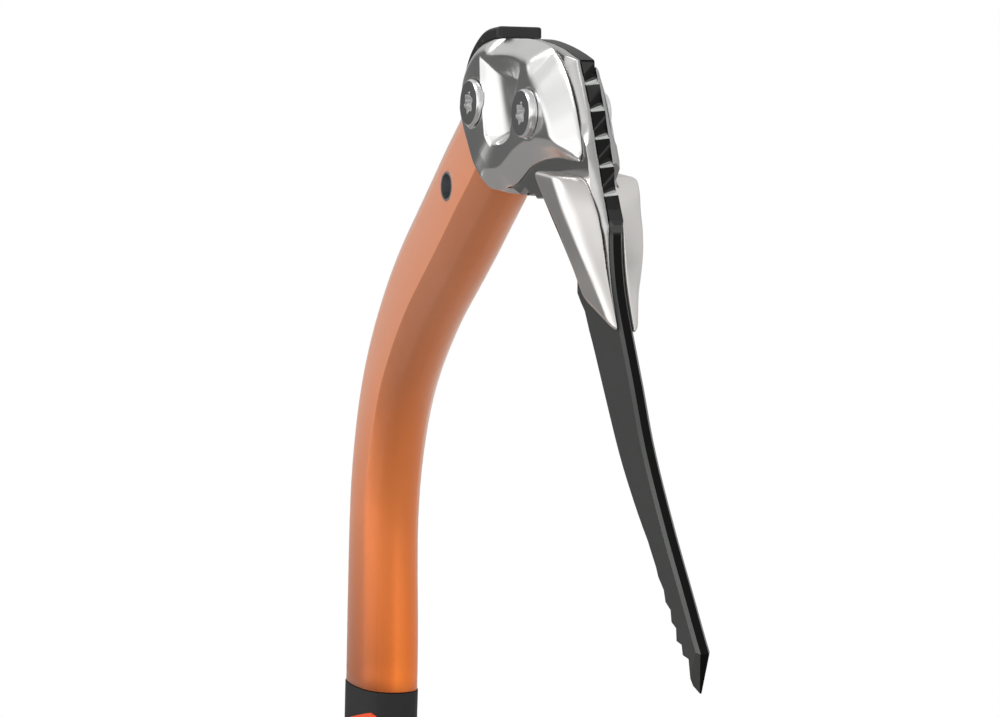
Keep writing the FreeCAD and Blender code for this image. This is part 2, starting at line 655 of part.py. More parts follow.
def hammer_channel():
    """Room for the hammer strip across the top of the head."""
    line = [(4.9, 22.6)] + HAMMER_OUTER
    return sym_prism([('S', offset_inward(line, -6)),
                      ('L', [(30.9, HAMMER_INNER[-1][1] - 0.05)]),
                      ('S', offset_inward(line, HAMMER_T + 0.1)[::-1])], HAMMER_HALF_W + 0.1)


def make_head():
    head = sym_prism(HEAD_CORE, PLATE_OUT)
    for side in SIDES:
        head = head.fuse(Part.makeLoft([side_polygon(HEAD_CORE, side * PLATE_OUT),
                                        side_polygon(HEAD_CHEEK, side * CHEEK_Y)], True, True))
    # shoulder swelling out to cover the tube end
    neck = Part.makeLoft([axis_ring(*section, 0.8) for section in NECK_SECTIONS], True, False)
    head = head.fuse(neck)
    # nothing below the shoulder plane
    head = head.cut(block(on_axis, SHOULDER, SHOULDER - 80, -60, 60, 40))
    # slot for the pick, tongue plates and hammer legs
    slot = block(on_axis, FLOOR, FLOOR + 140, -40, 60, PLATE_OUT + GAP)
    head = head.cut(slot)
    for side in SIDES:
        head = head.cut(pocket(side))
    for centre in (FRONT_BOLT, REAR_BOLT):
        for side in SIDES:
            head = head.cut(cylinder_y(centre, BOLT_HEAD_R + 0.6, *span(side, CHEEK_Y, 20)))
        head = head.cut(cylinder_y(centre, BOLT_SHANK_R + HOLE_CLEARANCE, -20, 0))
        head = head.cut(cylinder_y(centre, NUT_BARREL_R + HOLE_CLEARANCE, 0, 20))
    # tang inside the tube
    tang = Part.makeLoft([axis_ring(along, 17.6, 9.75, 1.0, -WALL - 0.15)
                          for along in (SHOULDER + 1.0, 20.0, 8.0, -6.0)], True, False)
    head = head.fuse(tang)
    head = head.cut(slot)
    head = head.cut(cylinder_y((0, 0), BUSH_R, -14, 14))
    return clean(clean(head).cut(hammer_channel()))


# ------------------------------------------------------------- mini hammer
def offset_inward(points, distance):
    """Move each point square to the line through its neighbours."""
    result = []
    for i, (x, z) in enumerate(points):
        before = points[max(0, i - 1)]
        after = points[min(len(points) - 1, i + 1)]
        tangent = unit((after[0] - before[0], after[1] - before[1]))
        result.append((x + tangent[1] * distance, z - tangent[0] * distance))
    return result


# strip over the top rear of the head, from its rear end up and forward
HAMMER_OUTER = [
    (4.6, 24.5), (4.7, 28.3), (6.0, 32.0), (8.7, 36.0), (12.8, 39.5), (18.4, 42.4),
    (23.2, 43.5), (30.8, 43.8)]
HAMMER_INNER = offset_inward(HAMMER_OUTER, HAMMER_T)
HAMMER_LEG = [
    (11.0, 27.6), (12.0, 30.6), (14.0, 33.3), (17.0, 35.9), (21.4, 38.1), (26.0, 39.6),
    (30.6, 41.2), (29.6, 32.0), (28.3, 22.6), (22.5, 17.0), (15.0, 22.5)]
# web that joins a leg to the strip
HAMMER_WEB = HAMMER_OUTER[1::2] + [(30.6, 38.5), (18, 36), (12.5, 30.5), (10, 26.5), (7.0, 26.5)]


def make_hammer():
    hammer = sym_prism([('S', HAMMER_OUTER), ('L', [HAMMER_INNER[-1]]),
                        ('S', HAMMER_INNER[::-1])], HAMMER_HALF_W)
    under_strip = sym_prism([('S', HAMMER_OUTER), ('L', [(30.8, 30.0), (14, 25)])], 8)
    leg_end = FLOOR + 0.15
    for side in SIDES:
        y0, y1 = span(side, PLATE_IN, PLATE_OUT - 0.02)
        web = prism(HAMMER_WEB, y0, y1).common(under_strip)
        leg = prism(HAMMER_LEG, y0, y1).fuse(web)
        leg = leg.cut(block(on_axis, leg_end, FLOOR - 60, -60, 60, 20))
        hammer = hammer.fuse(leg)
    hammer = hammer.cut(block(on_axis, leg_end, FLOOR - 60, -11, 60, 20))
    hammer = hammer.cut(cylinder_y(REAR_BOLT, BOLT_SHANK_R + HOLE_CLEARANCE, -8, 8))
    # clear of the top of the shaft
    hammer = hammer.cut(loft_stations(STATIONS[:8], STATION_DIRS[:8], 0.08, 0.08, 0.08))
    return clean(hammer)


# -------------------------------------------------------------- upper grip
MARK_COUNT = 6
MARK_TOP_Z = -157.2
MARK_PITCH = 12.5
# mark outlines as x, z from the grip axis at the mark's height
MARK_OUTLINES = {
    LEFT: [(-2.5, -0.4), (11.0, 2.0), (12.3, 1.0), (12.0, -0.4), (11.0, -1.2), (-2.5, -3.4)],
    RIGHT: [(3.0, 3.4), (-10.5, 5.8), (-10.5, 2.8), (3.0, 0.6), (4.0, 1.2), (4.3, 2.4)],
}


def grip_sleeve():
    """Extent of the upper grip: sloping top, lower at the front, to the rest."""
    return prism([(-130, GRIP_Z + 6.6), (-77.0, GRIP_Z - 0.3), (-63.0, GRIP_Z - 2.1),
                  (0, GRIP_Z - 10.3), on_handle(GRIP_END, 80), on_handle(GRIP_END, -80)],
                 -40, 40)


def axis_x(height):
    """X of the tube axis at a height."""
    for upper, lower in zip(STATIONS, STATIONS[1:]):
        if upper[1] >= height >= lower[1]:
            part = (height - upper[1]) / (lower[1] - upper[1])
            return upper[0] + (lower[0] - upper[0]) * part


def make_grip_marks():
    bars = []
    for k in range(MARK_COUNT):
        height = MARK_TOP_Z - MARK_PITCH * k
        centre_x = axis_x(height)
        for side in SIDES:
            points = [(centre_x + x, height + z) for x, z in MARK_OUTLINES[side]]
            bars.append(prism(points, *span(side, 2.0, 20.0)))
    sleeve = grip_sleeve()
    # thin band either side of the rubber surface
    outer_band = outer_form(GRIP_OUT + 0.35).common(sleeve)
    inner_band = outer_form(GRIP_OUT - 0.6).common(sleeve)
    band = outer_band.cut(inner_band)
    return Part.makeCompound([solid for bar in bars for solid in bar.common(band).Solids])


def make_upper_grip(marks):
    grip = clean(outer_form(GRIP_OUT).common(grip_sleeve()).cut(tube_clearance()))
    return clean(grip.cut(marks))


# -------------------------------------------------------------- upper rest
# collar: along, half depth, half width
UPPER_REST_SECTIONS = [(-9.0, 16.2, 12.2), (-4.0, 17.5, 12.8), (4.0, 18.2, 13.2),
                       (10.0, 17.2, 12.8)]
# horn reaching forward: along, across
UPPER_REST_HORN = [
    ('L', [(-7.0, 8.0), (-7.5, 17.0)]),
    ('S', [(-7.5, 17.0), (-3.0, 26.0), (2.0, 36.0), (6.5, 42.0)]),
    ('S', [(6.5, 42.0), (9.6, 41.0), (10.6, 37.0)]),
    ('S', [(10.6, 37.0), (10.2, 28.0), (9.6, 18.0), (9.4, 8.0)])]
HEX_R = 1.5


def make_upper_rest():
    rest = handle_loft(UPPER_REST_SECTIONS)
    rest = rest.fuse(sym_prism(handle_outline(UPPER_REST_HORN), 6.5)).cut(tube_clearance())
    rest = rest.cut(cylinder_forward(REST_SCREW, -30, -12.0, REST_SCREW_R + HOLE_CLEARANCE))
    rest = rest.cut(cylinder_forward(REST_SCREW, -30, -15.6, REST_HEAD_R + 0.1))
    return clean(rest)


def make_upper_rest_screw():
    screw = cylinder_forward(REST_SCREW, -17.8, -15.7, REST_HEAD_R)
    screw = screw.fuse(cylinder_forward(REST_SCREW, -16, -8.4, REST_SCREW_R))
    centre = at_y(on_handle(REST_SCREW, -18.5), 0)
    corners = []
    for k in range(6):
        angle = math.radians(60 * k)
        corners.append(centre + V(0, HEX_R * math.cos(angle), 0)
                       + HANDLE_DOWN_3D * (HEX_R * math.sin(angle)))
    socket = Part.Face(closed_polygon(corners)).extrude(HANDLE_FWD_3D * 2.1)
    return clean(screw.cut(socket))


# ------------------------------------------------- handle grip and end plug
# along, half depth, half width
HANDLE_GRIP_SECTIONS = [
    (10.2, 16.4, 12.4), (18.0, 15.6, 12.2), (36.0, 17.0, 12.9), (56.0, 18.4, 13.4),
    (76.0, 17.6, 13.2), (94.0, 16.0, 12.4), (110.0, 15.6, 12.0)]


def tube_size_loft(alongs, grow=0.0):
    """Solid with the section of the handle tube."""
    return handle_loft([(along, TUBE_A, TUBE_B) for along in alongs], grow)


def make_handle_grip():
    grip = handle_loft(HANDLE_GRIP_SECTIONS).cut(tube_clearance())
    return clean(grip.cut(tube_size_loft((107.0, 111.5), 0.1)))


def make_end_plug():
    plug = tube_size_loft((80.0, 109.0), -WALL - 0.08)
    plug = plug.fuse(tube_size_loft((108.1, 132.0, 152.0)))
    plug = plug.cut(block(on_handle, 110.5, 160, -30, PLUG_FLAT, 20))
    # slot for the spike
    plug = plug.cut(block(on_handle, 137.0, 160, -20, 20, SPIKE_T / 2 + GAP))
    plug = plug.cut(cylinder_y(on_handle(PLUG_PIN, 0), PIN_HOLE_R, -20, 20))
    for centre in SPIKE_BOLTS:
        plug = plug.cut(cylinder_y(centre, SPIKE_HOLE_R, -20, 20))
        for side in SIDES:
            seat = cylinder_y(centre, SPIKE_HEAD_R + 0.1, *span(side, SPIKE_SEAT_Y, 20))
            plug = plug.cut(seat)
    return clean(plug)


def make_plug_pin():
    return Part.makeCompound([cylinder_y(on_handle(PLUG_PIN, 0), PIN_HOLE_R - 0.04, -8.9, 8.9)])


# ------------------------------------------------------------------ spike
# along, across; the front teeth come between the two tables
SPIKE_BASE = [(137.4, -9.0), (137.4, 9.0), (152.6, 9.0), (153.2, 13.5), (156.0, 16.4)]
SPIKE_POINT = [
    (184.0, 8.4), (205.0, 3.0), (206.2, 1.6), (205.2, 0.4), (188.0, -4.6), (178.0, -9.4),
    (168.0, -12.6), (158.0, -13.6), (153.4, -12.6), (152.6, -9.0)]
SPIKE_TOOTH_PITCH = 6.2
SPIKE_TOOTH_FALL = 1.7      # each tooth stands this much further back


def make_spike():
    teeth = []
    for k in range(4):
        along = 158.0 + SPIKE_TOOTH_PITCH * k
        across = 16.8 - SPIKE_TOOTH_FALL * k
        teeth += [(along, across - 1.9), (along + 3.4, across + 0.5)]
    spike = sym_prism(handle_points(SPIKE_BASE + teeth + SPIKE_POINT), SPIKE_T / 2)
    spike = spike.cut(cylinder_y(on_handle(166.0, 1.0), TETHER_R, -5, 5))
    for centre in SPIKE_BOLTS:
        spike = spike.cut(cylinder_y(centre, SPIKE_HOLE_R, -5, 5))
    # point thinned from both sides by a wedge laid along the handle
    start = on_handle(188.0, -30)
    lay_down = FreeCAD.Matrix(HANDLE_DOWN[0], 0, HANDLE_FWD[0], start[0],
                              0, 1, 0, 0,
                              HANDLE_DOWN[1], 0, HANDLE_FWD[1], start[1],
                              0, 0, 0, 1)
    for side in SIDES:
        # along from the wedge start, y
        section = [(0, SPIKE_T / 2), (0, 4.0), (24, 4.0), (24, 0.6)]
        face = Part.Face(closed_polygon([V(along, side * y, 0) for along, y in section]))
        wedge = face.transformGeometry(lay_down).extrude(HANDLE_FWD_3D * 60)
        spike = spike.cut(wedge)
    return clean(spike)


def spike_bolt(centre):
    bolt = cylinder_y(centre, SPIKE_HEAD_R, -SPIKE_FACE_Y, -SPIKE_SEAT_Y - 0.05)
    bolt = bolt.fuse(cylinder_y(centre, SPIKE_BOLT_R, -7.0, 7.9))
    recess = lobed_recess(centre, -SPIKE_FACE_Y, LEFT, 1.1, radius=1.2, lobe_r=0.4)
    return clean(bolt.cut(recess))


def spike_nut(centre):
    nut = cylinder_y(centre, SPIKE_HEAD_R, SPIKE_SEAT_Y + 0.05, SPIKE_FACE_Y)
    return nut.cut(cylinder_y(centre, SPIKE_BOLT_R + 0.03, 0, 20))


# -------------------------------------------------- lower rest and its lock
# collar that slides on the end plug; tables are along from its top, across
LOWER_REST_POMMEL = [
    ('L', [(1, 8.0), (1, 15.0)]),
    ('S', [(1, 15.0), (4.0, 22.0), (4.5, 30.0), (1.0, 38.0)]),
    ('S', [(1.0, 38.0), (2.5, 42.0), (6.5, 42.5)]),
    ('S', [(6.5, 42.5), (12.0, 36.0), (14.2, 26.0), (14.4, 8.0)])]
LEVER_LUG = [(2.0, -12.0), (2.0, -19.0), (5.0, -21.4), (10.0, -21.4), (13.0, -19.0),
             (13.0, -12.0)]
LEVER_WINDOW = [
    (-4.0, -40), (COLLAR_LENGTH + 4.0, -40), (COLLAR_LENGTH + 4.0, -14.6), (13.2, -14.6),
    (13.2, -11.0), (1.8, -11.0), (1.8, -14.6), (-4.0, -14.6)]
# lever arm: along, across from its pivot
LEVER_ARM = [
    ('L', [(-1.0, -3.6), (3.6, 1.2)]),
    ('S', [(3.6, 1.2), (12.0, 0.6), (22.0, -0.4), (28.0, -2.6)]),
    ('L', [(28.4, -4.8)]),
    ('S', [(28.4, -4.8), (18.0, -3.8), (8.0, -4.3), (-1.0, -3.6)])]
CAM_OFFSET = 0.9        # cam centre forward of the pivot
BORE_PLAY = 0.12


def make_lower_rest():
    rest = handle_loft([(COLLAR_TOP, 15.6, 12.0), (COLLAR_TOP + 5, 17.0, 12.8),
                        (COLLAR_BOTTOM - 3, 17.4, 13.0), (COLLAR_BOTTOM, 16.4, 12.4)])
    rest = rest.fuse(sym_prism(handle_outline(LOWER_REST_POMMEL, COLLAR_TOP), 7.0))
    rest = rest.fuse(sym_prism(handle_points(LEVER_LUG, COLLAR_TOP), 7.2))
    bore = tube_size_loft((COLLAR_TOP - 3, COLLAR_BOTTOM + 3), BORE_PLAY)
    bore = bore.cut(block(on_handle, COLLAR_TOP - 5, COLLAR_BOTTOM + 5,
                          -30, PLUG_FLAT - BORE_PLAY, 20))
    rest = rest.cut(bore)
    # window for the lever, which leaves a lug on each side
    rest = rest.cut(sym_prism(handle_points(LEVER_WINDOW, COLLAR_TOP), 4.0))
    rest = rest.cut(cylinder_y(on_handle(*LEVER_PIVOT), LEVER_PIN_R + 0.05, -20, 20))
    return clean(rest)


def make_lever_pin():
    return cylinder_y(on_handle(*LEVER_PIVOT), LEVER_PIN_R, -7.0, 7.0)


def make_lever():
    along, across = LEVER_PIVOT
    # the cam stops just short of the flat on the plug
    cam_r = abs(across - PLUG_FLAT) - 0.08 - CAM_OFFSET
    cam = cylinder_y(on_handle(along, across + CAM_OFFSET), cam_r, -LEVER_HALF_W, LEVER_HALF_W)
    arm = sym_prism(handle_outline(LEVER_ARM, along, across), LEVER_HALF_W)
    hole = cylinder_y(on_handle(along, across), LEVER_PIN_R + 0.06, -20, 20)
    return clean(cam.fuse(arm).cut(hole))


# ----------------------------------------------------------------- export
grip_marks = make_grip_marks()
PIECES = {
    "shaft": make_shaft(),
    "clip_hole_bushing": make_bushing(),
    "head_body": make_head(),
    "pick": make_pick(),
    "tongue_plate_left": make_plate(LEFT),
    "tongue_plate_right": make_plate(RIGHT),
    "pick_weight_left": make_weight(LEFT),
    "pick_weight_right": make_weight(RIGHT),
    "weight_screw": make_weight_screw(),
    "pick_bolts": Part.makeCompound([pick_bolt(FRONT_BOLT), pick_bolt(REAR_BOLT)]),
    "pick_nuts": Part.makeCompound([pick_nut(FRONT_BOLT), pick_nut(REAR_BOLT)]),
    "mini_hammer": make_hammer(),
    "upper_grip": make_upper_grip(grip_marks),
    "upper_grip_marks": grip_marks,
    "upper_rest": make_upper_rest(),
    "upper_rest_screw": make_upper_rest_screw(),
    "handle_grip": make_handle_grip(),
    "end_plug": make_end_plug(),
    "end_plug_pin": make_plug_pin(),
    "spike": make_spike(),
    "spike_bolts": Part.makeCompound([spike_bolt(centre) for centre in SPIKE_BOLTS]),
    "spike_nuts": Part.makeCompound([spike_nut(centre) for centre in SPIKE_BOLTS]),
    "lower_rest": make_lower_rest(),
    "rest_lever_pin": make_lever_pin(),
    "rest_lever": make_lever(),
}
for name, shape in PIECES.items():
    shape.exportStep("parts/%s.step" % name)
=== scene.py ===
"""Hand tool with a pick, a bent shaft, a grip and a spike, in a small photo studio.

The side view is the XZ plane: the pick reaches towards +X, the shaft runs down from the
head towards -Z and Y goes across the tool, with the left side at -Y. The CAD nodes keep
their shape and get materials. The head, the hammer, the plates and the weights are
sculpted again as distance fields (negative inside) and turned into quad meshes.
Sculpting is in millimetres; shading, lights and camera are in metres.
"""
import bpy, bmesh, json, math
import numpy as np
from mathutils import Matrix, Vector


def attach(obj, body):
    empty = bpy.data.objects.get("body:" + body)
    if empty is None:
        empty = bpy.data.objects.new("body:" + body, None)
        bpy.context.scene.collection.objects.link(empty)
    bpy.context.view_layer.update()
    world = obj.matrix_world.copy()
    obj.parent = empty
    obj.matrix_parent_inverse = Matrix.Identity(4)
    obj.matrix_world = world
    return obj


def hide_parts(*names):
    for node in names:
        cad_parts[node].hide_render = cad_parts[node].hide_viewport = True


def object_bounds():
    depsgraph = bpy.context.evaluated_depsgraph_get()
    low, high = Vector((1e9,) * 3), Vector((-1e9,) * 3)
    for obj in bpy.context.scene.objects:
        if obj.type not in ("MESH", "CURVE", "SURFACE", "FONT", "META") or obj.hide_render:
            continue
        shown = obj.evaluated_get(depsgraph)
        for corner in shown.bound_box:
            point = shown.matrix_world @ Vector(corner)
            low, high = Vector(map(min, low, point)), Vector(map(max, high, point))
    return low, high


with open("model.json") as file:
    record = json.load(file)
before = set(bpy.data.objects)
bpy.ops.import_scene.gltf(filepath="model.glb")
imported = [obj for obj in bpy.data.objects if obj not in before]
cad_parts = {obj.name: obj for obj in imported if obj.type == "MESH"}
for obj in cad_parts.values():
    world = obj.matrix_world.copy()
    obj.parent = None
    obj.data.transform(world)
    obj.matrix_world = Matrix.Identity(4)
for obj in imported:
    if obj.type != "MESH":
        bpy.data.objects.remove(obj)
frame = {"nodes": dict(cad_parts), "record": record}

CAD_LO, CAD_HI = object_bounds()
NODES = frame["nodes"]
MM = 0.001

# Upper straight part of the tube: a point on its axis and the unit direction up the axis, (x, z)
AXIS_POINT, AXIS_DIR = (-6.7, -6.4), (0.8, 0.6)
TUBE_END = 30.5       # along the axis, where the head's shoulder meets the tube
SLOT_FLOOR = 34.4     # along the axis, bottom of the slot in the head

FRONT_BOLT, REAR_BOLT, WEIGHT_BOLT = (60.0, 17.8), (22.5, 22.6), (83.5, -13.0)   # (x, z)
BOLT_HOLE = 3.05      # radius of the front and rear bolt holes

PLATE_INNER = 2.06    # y of the plate's inner face
PLATE_OUTER = 4.6     # y of its outer face above z = PLATE_TAPER_TOP
PLATE_TIP = 0.15      # thickness left at the bottom of the taper
PLATE_TAPER_TOP, PLATE_TAPER_DROP = 2.0, 46.0


# ------------------------------------------------------------ node helpers
def add_node(tree, kind, inputs=None, **settings):
    """New shader node; an input given a socket is linked, any other is set."""
    node = tree.nodes.new("ShaderNode" + kind)
    for key, value in settings.items():
        setattr(node, key, value)
    for key, value in (inputs or {}).items():
        if isinstance(value, bpy.types.NodeSocket):
            tree.links.new(value, node.inputs[key])
        else:
            node.inputs[key].default_value = value
    return node


def math_node(tree, operation, *values):
    return add_node(tree, "Math", dict(enumerate(values)), operation=operation).outputs[0]


def separate(tree, vector):
    return add_node(tree, "SeparateXYZ", {0: vector}).outputs


def span(tree, value, start, end):
    """0 at start, 1 at end, clamped."""
    inputs = {"Value": value, "From Min": start, "From Max": end}
    return add_node(tree, "MapRange", inputs).outputs[0]


def scale_to(tree, value, low, high):
    """Stretches 0..1 to low..high."""
    return add_node(tree, "MapRange", {"Value": value, "To Min": low, "To Max": high}).outputs[0]


def mix_colour(tree, a, b, factor=1.0, blend="MULTIPLY"):
    inputs = {"Factor": factor, "A": a, "B": b}
    mix = add_node(tree, "Mix", inputs, data_type="RGBA", blend_type=blend)
    return mix.outputs["Result"]


def ramp(tree, source, stops, low=0.0, high=1.0, gain=1.0, ease=False, insert_at=None):
    """Colour ramp. Stops are (place between low and high, grey or RGB); gain scales greys.

    With insert_at, each middle stop is added there and then moved. Blender sorts stops
    when one is added but not when one moves, so this sets their final order.
    """
    node = add_node(tree, "ValToRGB", {0: source})
    band = node.color_ramp
    if ease:
        band.interpolation = "EASE"
    for k, (place, tone) in enumerate(stops):
        position = (place - low) / (high - low)
        if k == 0:
            stop = band.elements[0]
        elif k == len(stops) - 1:
            stop = band.elements[-1]
        else:
            stop = band.elements.new(position if insert_at is None else insert_at)
        stop.position = position
        rgb = tone if isinstance(tone, tuple) else (tone * gain,) * 3
        stop.color = (*rgb, 1)
    return node.outputs[0]


def find(tree, kind):
    """First node of a kind."""
    return next(n for n in tree.nodes if n.bl_idname == "ShaderNode" + kind)


def multiply_base(tree, tone, factor=1.0):
    """Multiplies whatever feeds the base colour by a tone."""
    base = find(tree, "BsdfPrincipled").inputs["Base Color"]
    tree.links.new(mix_colour(tree, base.links[0].from_socket, tone, factor), base)


# --------------------------------------------------------------- materials
SLOW_NOISE = {"Scale": 55.0, "Detail": 4.0}    # drift of the tone
FINE_DETAIL = 3.0                              # detail of the grain


def material(name, colour, metallic, roughness, grain, bump, depth, rough_spread, tone_spread,
             stretch=(1, 1, 1), specular=0.5, wear_and_highlight=None):
    """Procedural finish: fine grain in the bump, slow tone drift, wear and a painted highlight
    on convex edges.
    """
    made = bpy.data.materials.new(name)
    made.use_nodes = True
    tree = made.node_tree
    tree.nodes.clear()
    out = add_node(tree, "OutputMaterial")
    shader = add_node(tree, "BsdfPrincipled", {
        "Metallic": metallic, "Specular IOR Level": specular})
    tree.links.new(shader.outputs[0], out.inputs[0])

    coords = add_node(tree, "TexCoord").outputs["Object"]
    mapping = add_node(tree, "Mapping", {0: coords, "Scale": stretch}).outputs[0]
    slow = add_node(tree, "TexNoise", {"Vector": mapping, **SLOW_NOISE}).outputs["Fac"]
    fine = add_node(tree, "TexNoise", {
        "Vector": mapping, "Scale": grain, "Detail": FINE_DETAIL}).outputs["Fac"]

    dark = (*[c * (1 - tone_spread) for c in colour], 1)
    light = (*[c * (1 + tone_spread) for c in colour], 1)
    tone = mix_colour(tree, dark, light, slow, "MIX")
    if wear_and_highlight is not None:
        # wear and painted highlight: a light colour mixed in on convex edges, found from
        # pointiness
        pointiness = add_node(tree, "NewGeometry").outputs["Pointiness"]
        edges = ramp(tree, pointiness, [(0.52, 0.0), (0.62, 1.0)])
        wear_and_highlight_mask = math_node(tree, "MULTIPLY", edges, fine)
        tone = mix_colour(tree, tone, (*wear_and_highlight, 1), wear_and_highlight_mask, "MIX")
    tree.links.new(tone, shader.inputs["Base Color"])

    rough = scale_to(tree, fine, roughness - rough_spread, roughness + rough_spread)
    tree.links.new(rough, shader.inputs["Roughness"])
    relief = add_node(tree, "Bump", {"Strength": bump, "Distance": depth, "Height": fine})
    tree.links.new(relief.outputs[0], shader.inputs["Normal"])
    made["nodes"] = 1
    return made


# name, colour, metallic, roughness, grain scale, bump strength, bump depth (m),
# roughness spread, tone spread, further settings
FINISHES = [
    ("shaft_anodised", (0.84, 0.225, 0.050), 0.45, 0.38, 2600, 0.05, 0.00001, 0.04, 0.03, {}),
    ("bare_aluminium", (0.62, 0.63, 0.65), 1.0, 0.34, 2200, 0.10, 0.00002, 0.06, 0.05, {}),
    ("head_satin", (0.82, 0.815, 0.81), 1.0, 0.19, 1400, 0.02, 0.00001, 0.02, 0.02, {}),
    ("tongue_satin", (0.50, 0.495, 0.49), 1.0, 0.22, 1600, 0.02, 0.00001, 0.03, 0.03, {}),
    ("weight_satin", (0.896, 0.868, 0.846), 1.0, 0.30, 1500, 0.025, 0.00001, 0.03, 0.03, {}),
    ("pick_steel", (0.135, 0.14, 0.135), 0.9, 0.38, 1800, 0.06, 0.00002, 0.06, 0.06, {}),
    ("hammer_black", (0.035, 0.035, 0.036), 0.6, 0.36, 1500, 0.06, 0.00002, 0.06, 0.12,
     {"wear_and_highlight": (0.42, 0.42, 0.42)}),
    ("bolt_steel", (0.62, 0.62, 0.62), 1.0, 0.20, 1500, 0.04, 0.00002, 0.04, 0.05, {}),
    ("spike_steel", (0.50, 0.50, 0.50), 1.0, 0.33, 700, 0.08, 0.00003, 0.08, 0.08,
     {"stretch": (1, 1, 6)}),
    ("grip_rubber", (0.020, 0.020, 0.0212), 0.0, 0.62, 2200, 0.25, 0.00005, 0.08, 0.15,
     {"specular": 0.35}),
    ("mark_orange", (0.86, 0.085, 0.018), 0.0, 0.50, 2200, 0.20, 0.00004, 0.08, 0.06,
     {"specular": 0.4}),
    ("handle_rubber", (0.020, 0.020, 0.021), 0.0, 0.66, 2200, 0.40, 0.00008, 0.10, 0.2,
     {"specular": 0.35}),
    ("rest_plastic", (0.026, 0.026, 0.028), 0.0, 0.48, 2200, 0.25, 0.00005, 0.08, 0.14, {}),
    ("lever_orange", (0.82, 0.14, 0.025), 0.0, 0.40, 2200, 0.20, 0.00004, 0.08, 0.05, {}),
]


def paint_pick_light_and_shade(tree):
    """Painted light and shade by face direction: darker left bevel, black spine, brighter right
    bevel, painted shade and highlights on the teeth.
    """
    geometry = add_node(tree, "NewGeometry").outputs
    normal = separate(tree, geometry["True Normal"])
    place = separate(tree, geometry["Position"])
    # painted light and shade by how far a face turns left or right
    flank_light_and_shade = ramp(tree, span(tree, normal["Y"], -1, 1), [
        (0.0, 1.0), (0.025, 1.0), (0.07, 0.62), (0.29, 0.62), (0.35, 0.07),
        (0.64, 0.07), (0.71, 2.2), (0.93, 2.2), (0.975, 1.0), (1.0, 1.0)])
    # painted shade and highlights on the tooth facets, by how far a face turns up or down
    edge = ramp(tree, span(tree, normal["Z"], -1, 1), [
        (0.0, 2.4), (0.27, 2.2), (0.38, 1.3), (0.50, 0.2),
        (0.70, 0.10), (0.77, 0.8), (0.84, 6.5), (1.0, 7.5)])
    # the painted tooth shade and highlights hold in a band of height, the painted flank light
    # and shade above and below it
    band = math_node(tree, "MULTIPLY",
                     span(tree, place["Z"], -0.0165, -0.0155),
                     span(tree, place["Z"], 0.0312, 0.0308))
    multiply_base(tree, mix_colour(tree, flank_light_and_shade, edge, band, "MIX"))


def paint_bolt_light(tree):
    """Painted light and shade: the outermost flat faces a little darker, the recess, rim and
    sides brighter.
    """
    geometry = add_node(tree, "NewGeometry").outputs
    normal = separate(tree, geometry["True Normal"])
    place = separate(tree, geometry["Position"])
    sideways = math_node(tree, "ABSOLUTE", normal["Y"])
    offset = math_node(tree, "ABSOLUTE", place["Y"])
    face = math_node(tree, "MULTIPLY",
                     span(tree, sideways, 0.95, 0.98), span(tree, offset, 0.0121, 0.01225))
    # painted light: 1.5 on the recess, rim and sides; painted shade: 0.95 on the outermost faces
    multiply_base(tree, ramp(tree, face, [(0.0, 1.5), (1.0, 0.95)]))


def finish_shaft_with_painted_light(tree):
    """Anodised tube with painted light: a deeper, more saturated orange lower down, painted
    light and shade by the sideways turn of the faces; corners eased in the shading.
    """
    sheen_weight = 0.9
    shader = find(tree, "BsdfPrincipled")
    for key, value in {
        "Coat Weight": 0.25,
        "Coat Roughness": 0.35,
        "Sheen Weight": sheen_weight,
        "Sheen Roughness": 0.45,
        "Sheen Tint": (1.0, 0.93, 0.88, 1),
    }.items():
        shader.inputs[key].default_value = value

    geometry = add_node(tree, "NewGeometry").outputs
    height = separate(tree, geometry["Position"])["Z"]
    across = separate(tree, geometry["Normal"])["Y"]
    descent = span(tree, height, -0.050, -0.155)
    # painted light: the orange deeper and more saturated lower down
    multiply_base(tree, ramp(tree, descent, [
        (0.0, (1.0, 1.0, 1.0)), (0.45, (1.04, 0.98, 0.80)), (1.0, (1.16, 0.92, 0.30))]))
    # painted light and shade from the left side to the right, low on the tube and then high on
    # it
    low_painted_light = ramp(tree, span(tree, across, -1, 1), [
        (0.0, 0.50), (0.22, 0.66), (0.38, 0.92), (0.47, 1.22), (0.58, 1.20), (0.72, 1.06),
        (1.0, 0.85)])
    multiply_base(tree, low_painted_light, span(tree, height, -0.095, -0.150))
    high_painted_light = ramp(tree, span(tree, across, -1, 1), [
        (0.0, 1.16), (0.012, 1.14), (0.05, 0.72), (0.10, 0.64), (0.25, 0.74), (0.45, 0.86),
        (0.8, 0.97), (1.0, 1.1)])
    multiply_base(tree, high_painted_light, span(tree, height, -0.105, -0.055))

    sheen = ramp(tree, descent, [(0.0, sheen_weight), (1.0, 0.30)])
    tree.links.new(sheen, shader.inputs["Sheen Weight"])
    radius = scale_to(tree, descent, 0.0011, 0.0060)
    eased = add_node(tree, "Bevel", {"Radius": radius}, samples=8).outputs[0]
    tree.links.new(eased, find(tree, "Bump").inputs["Normal"])


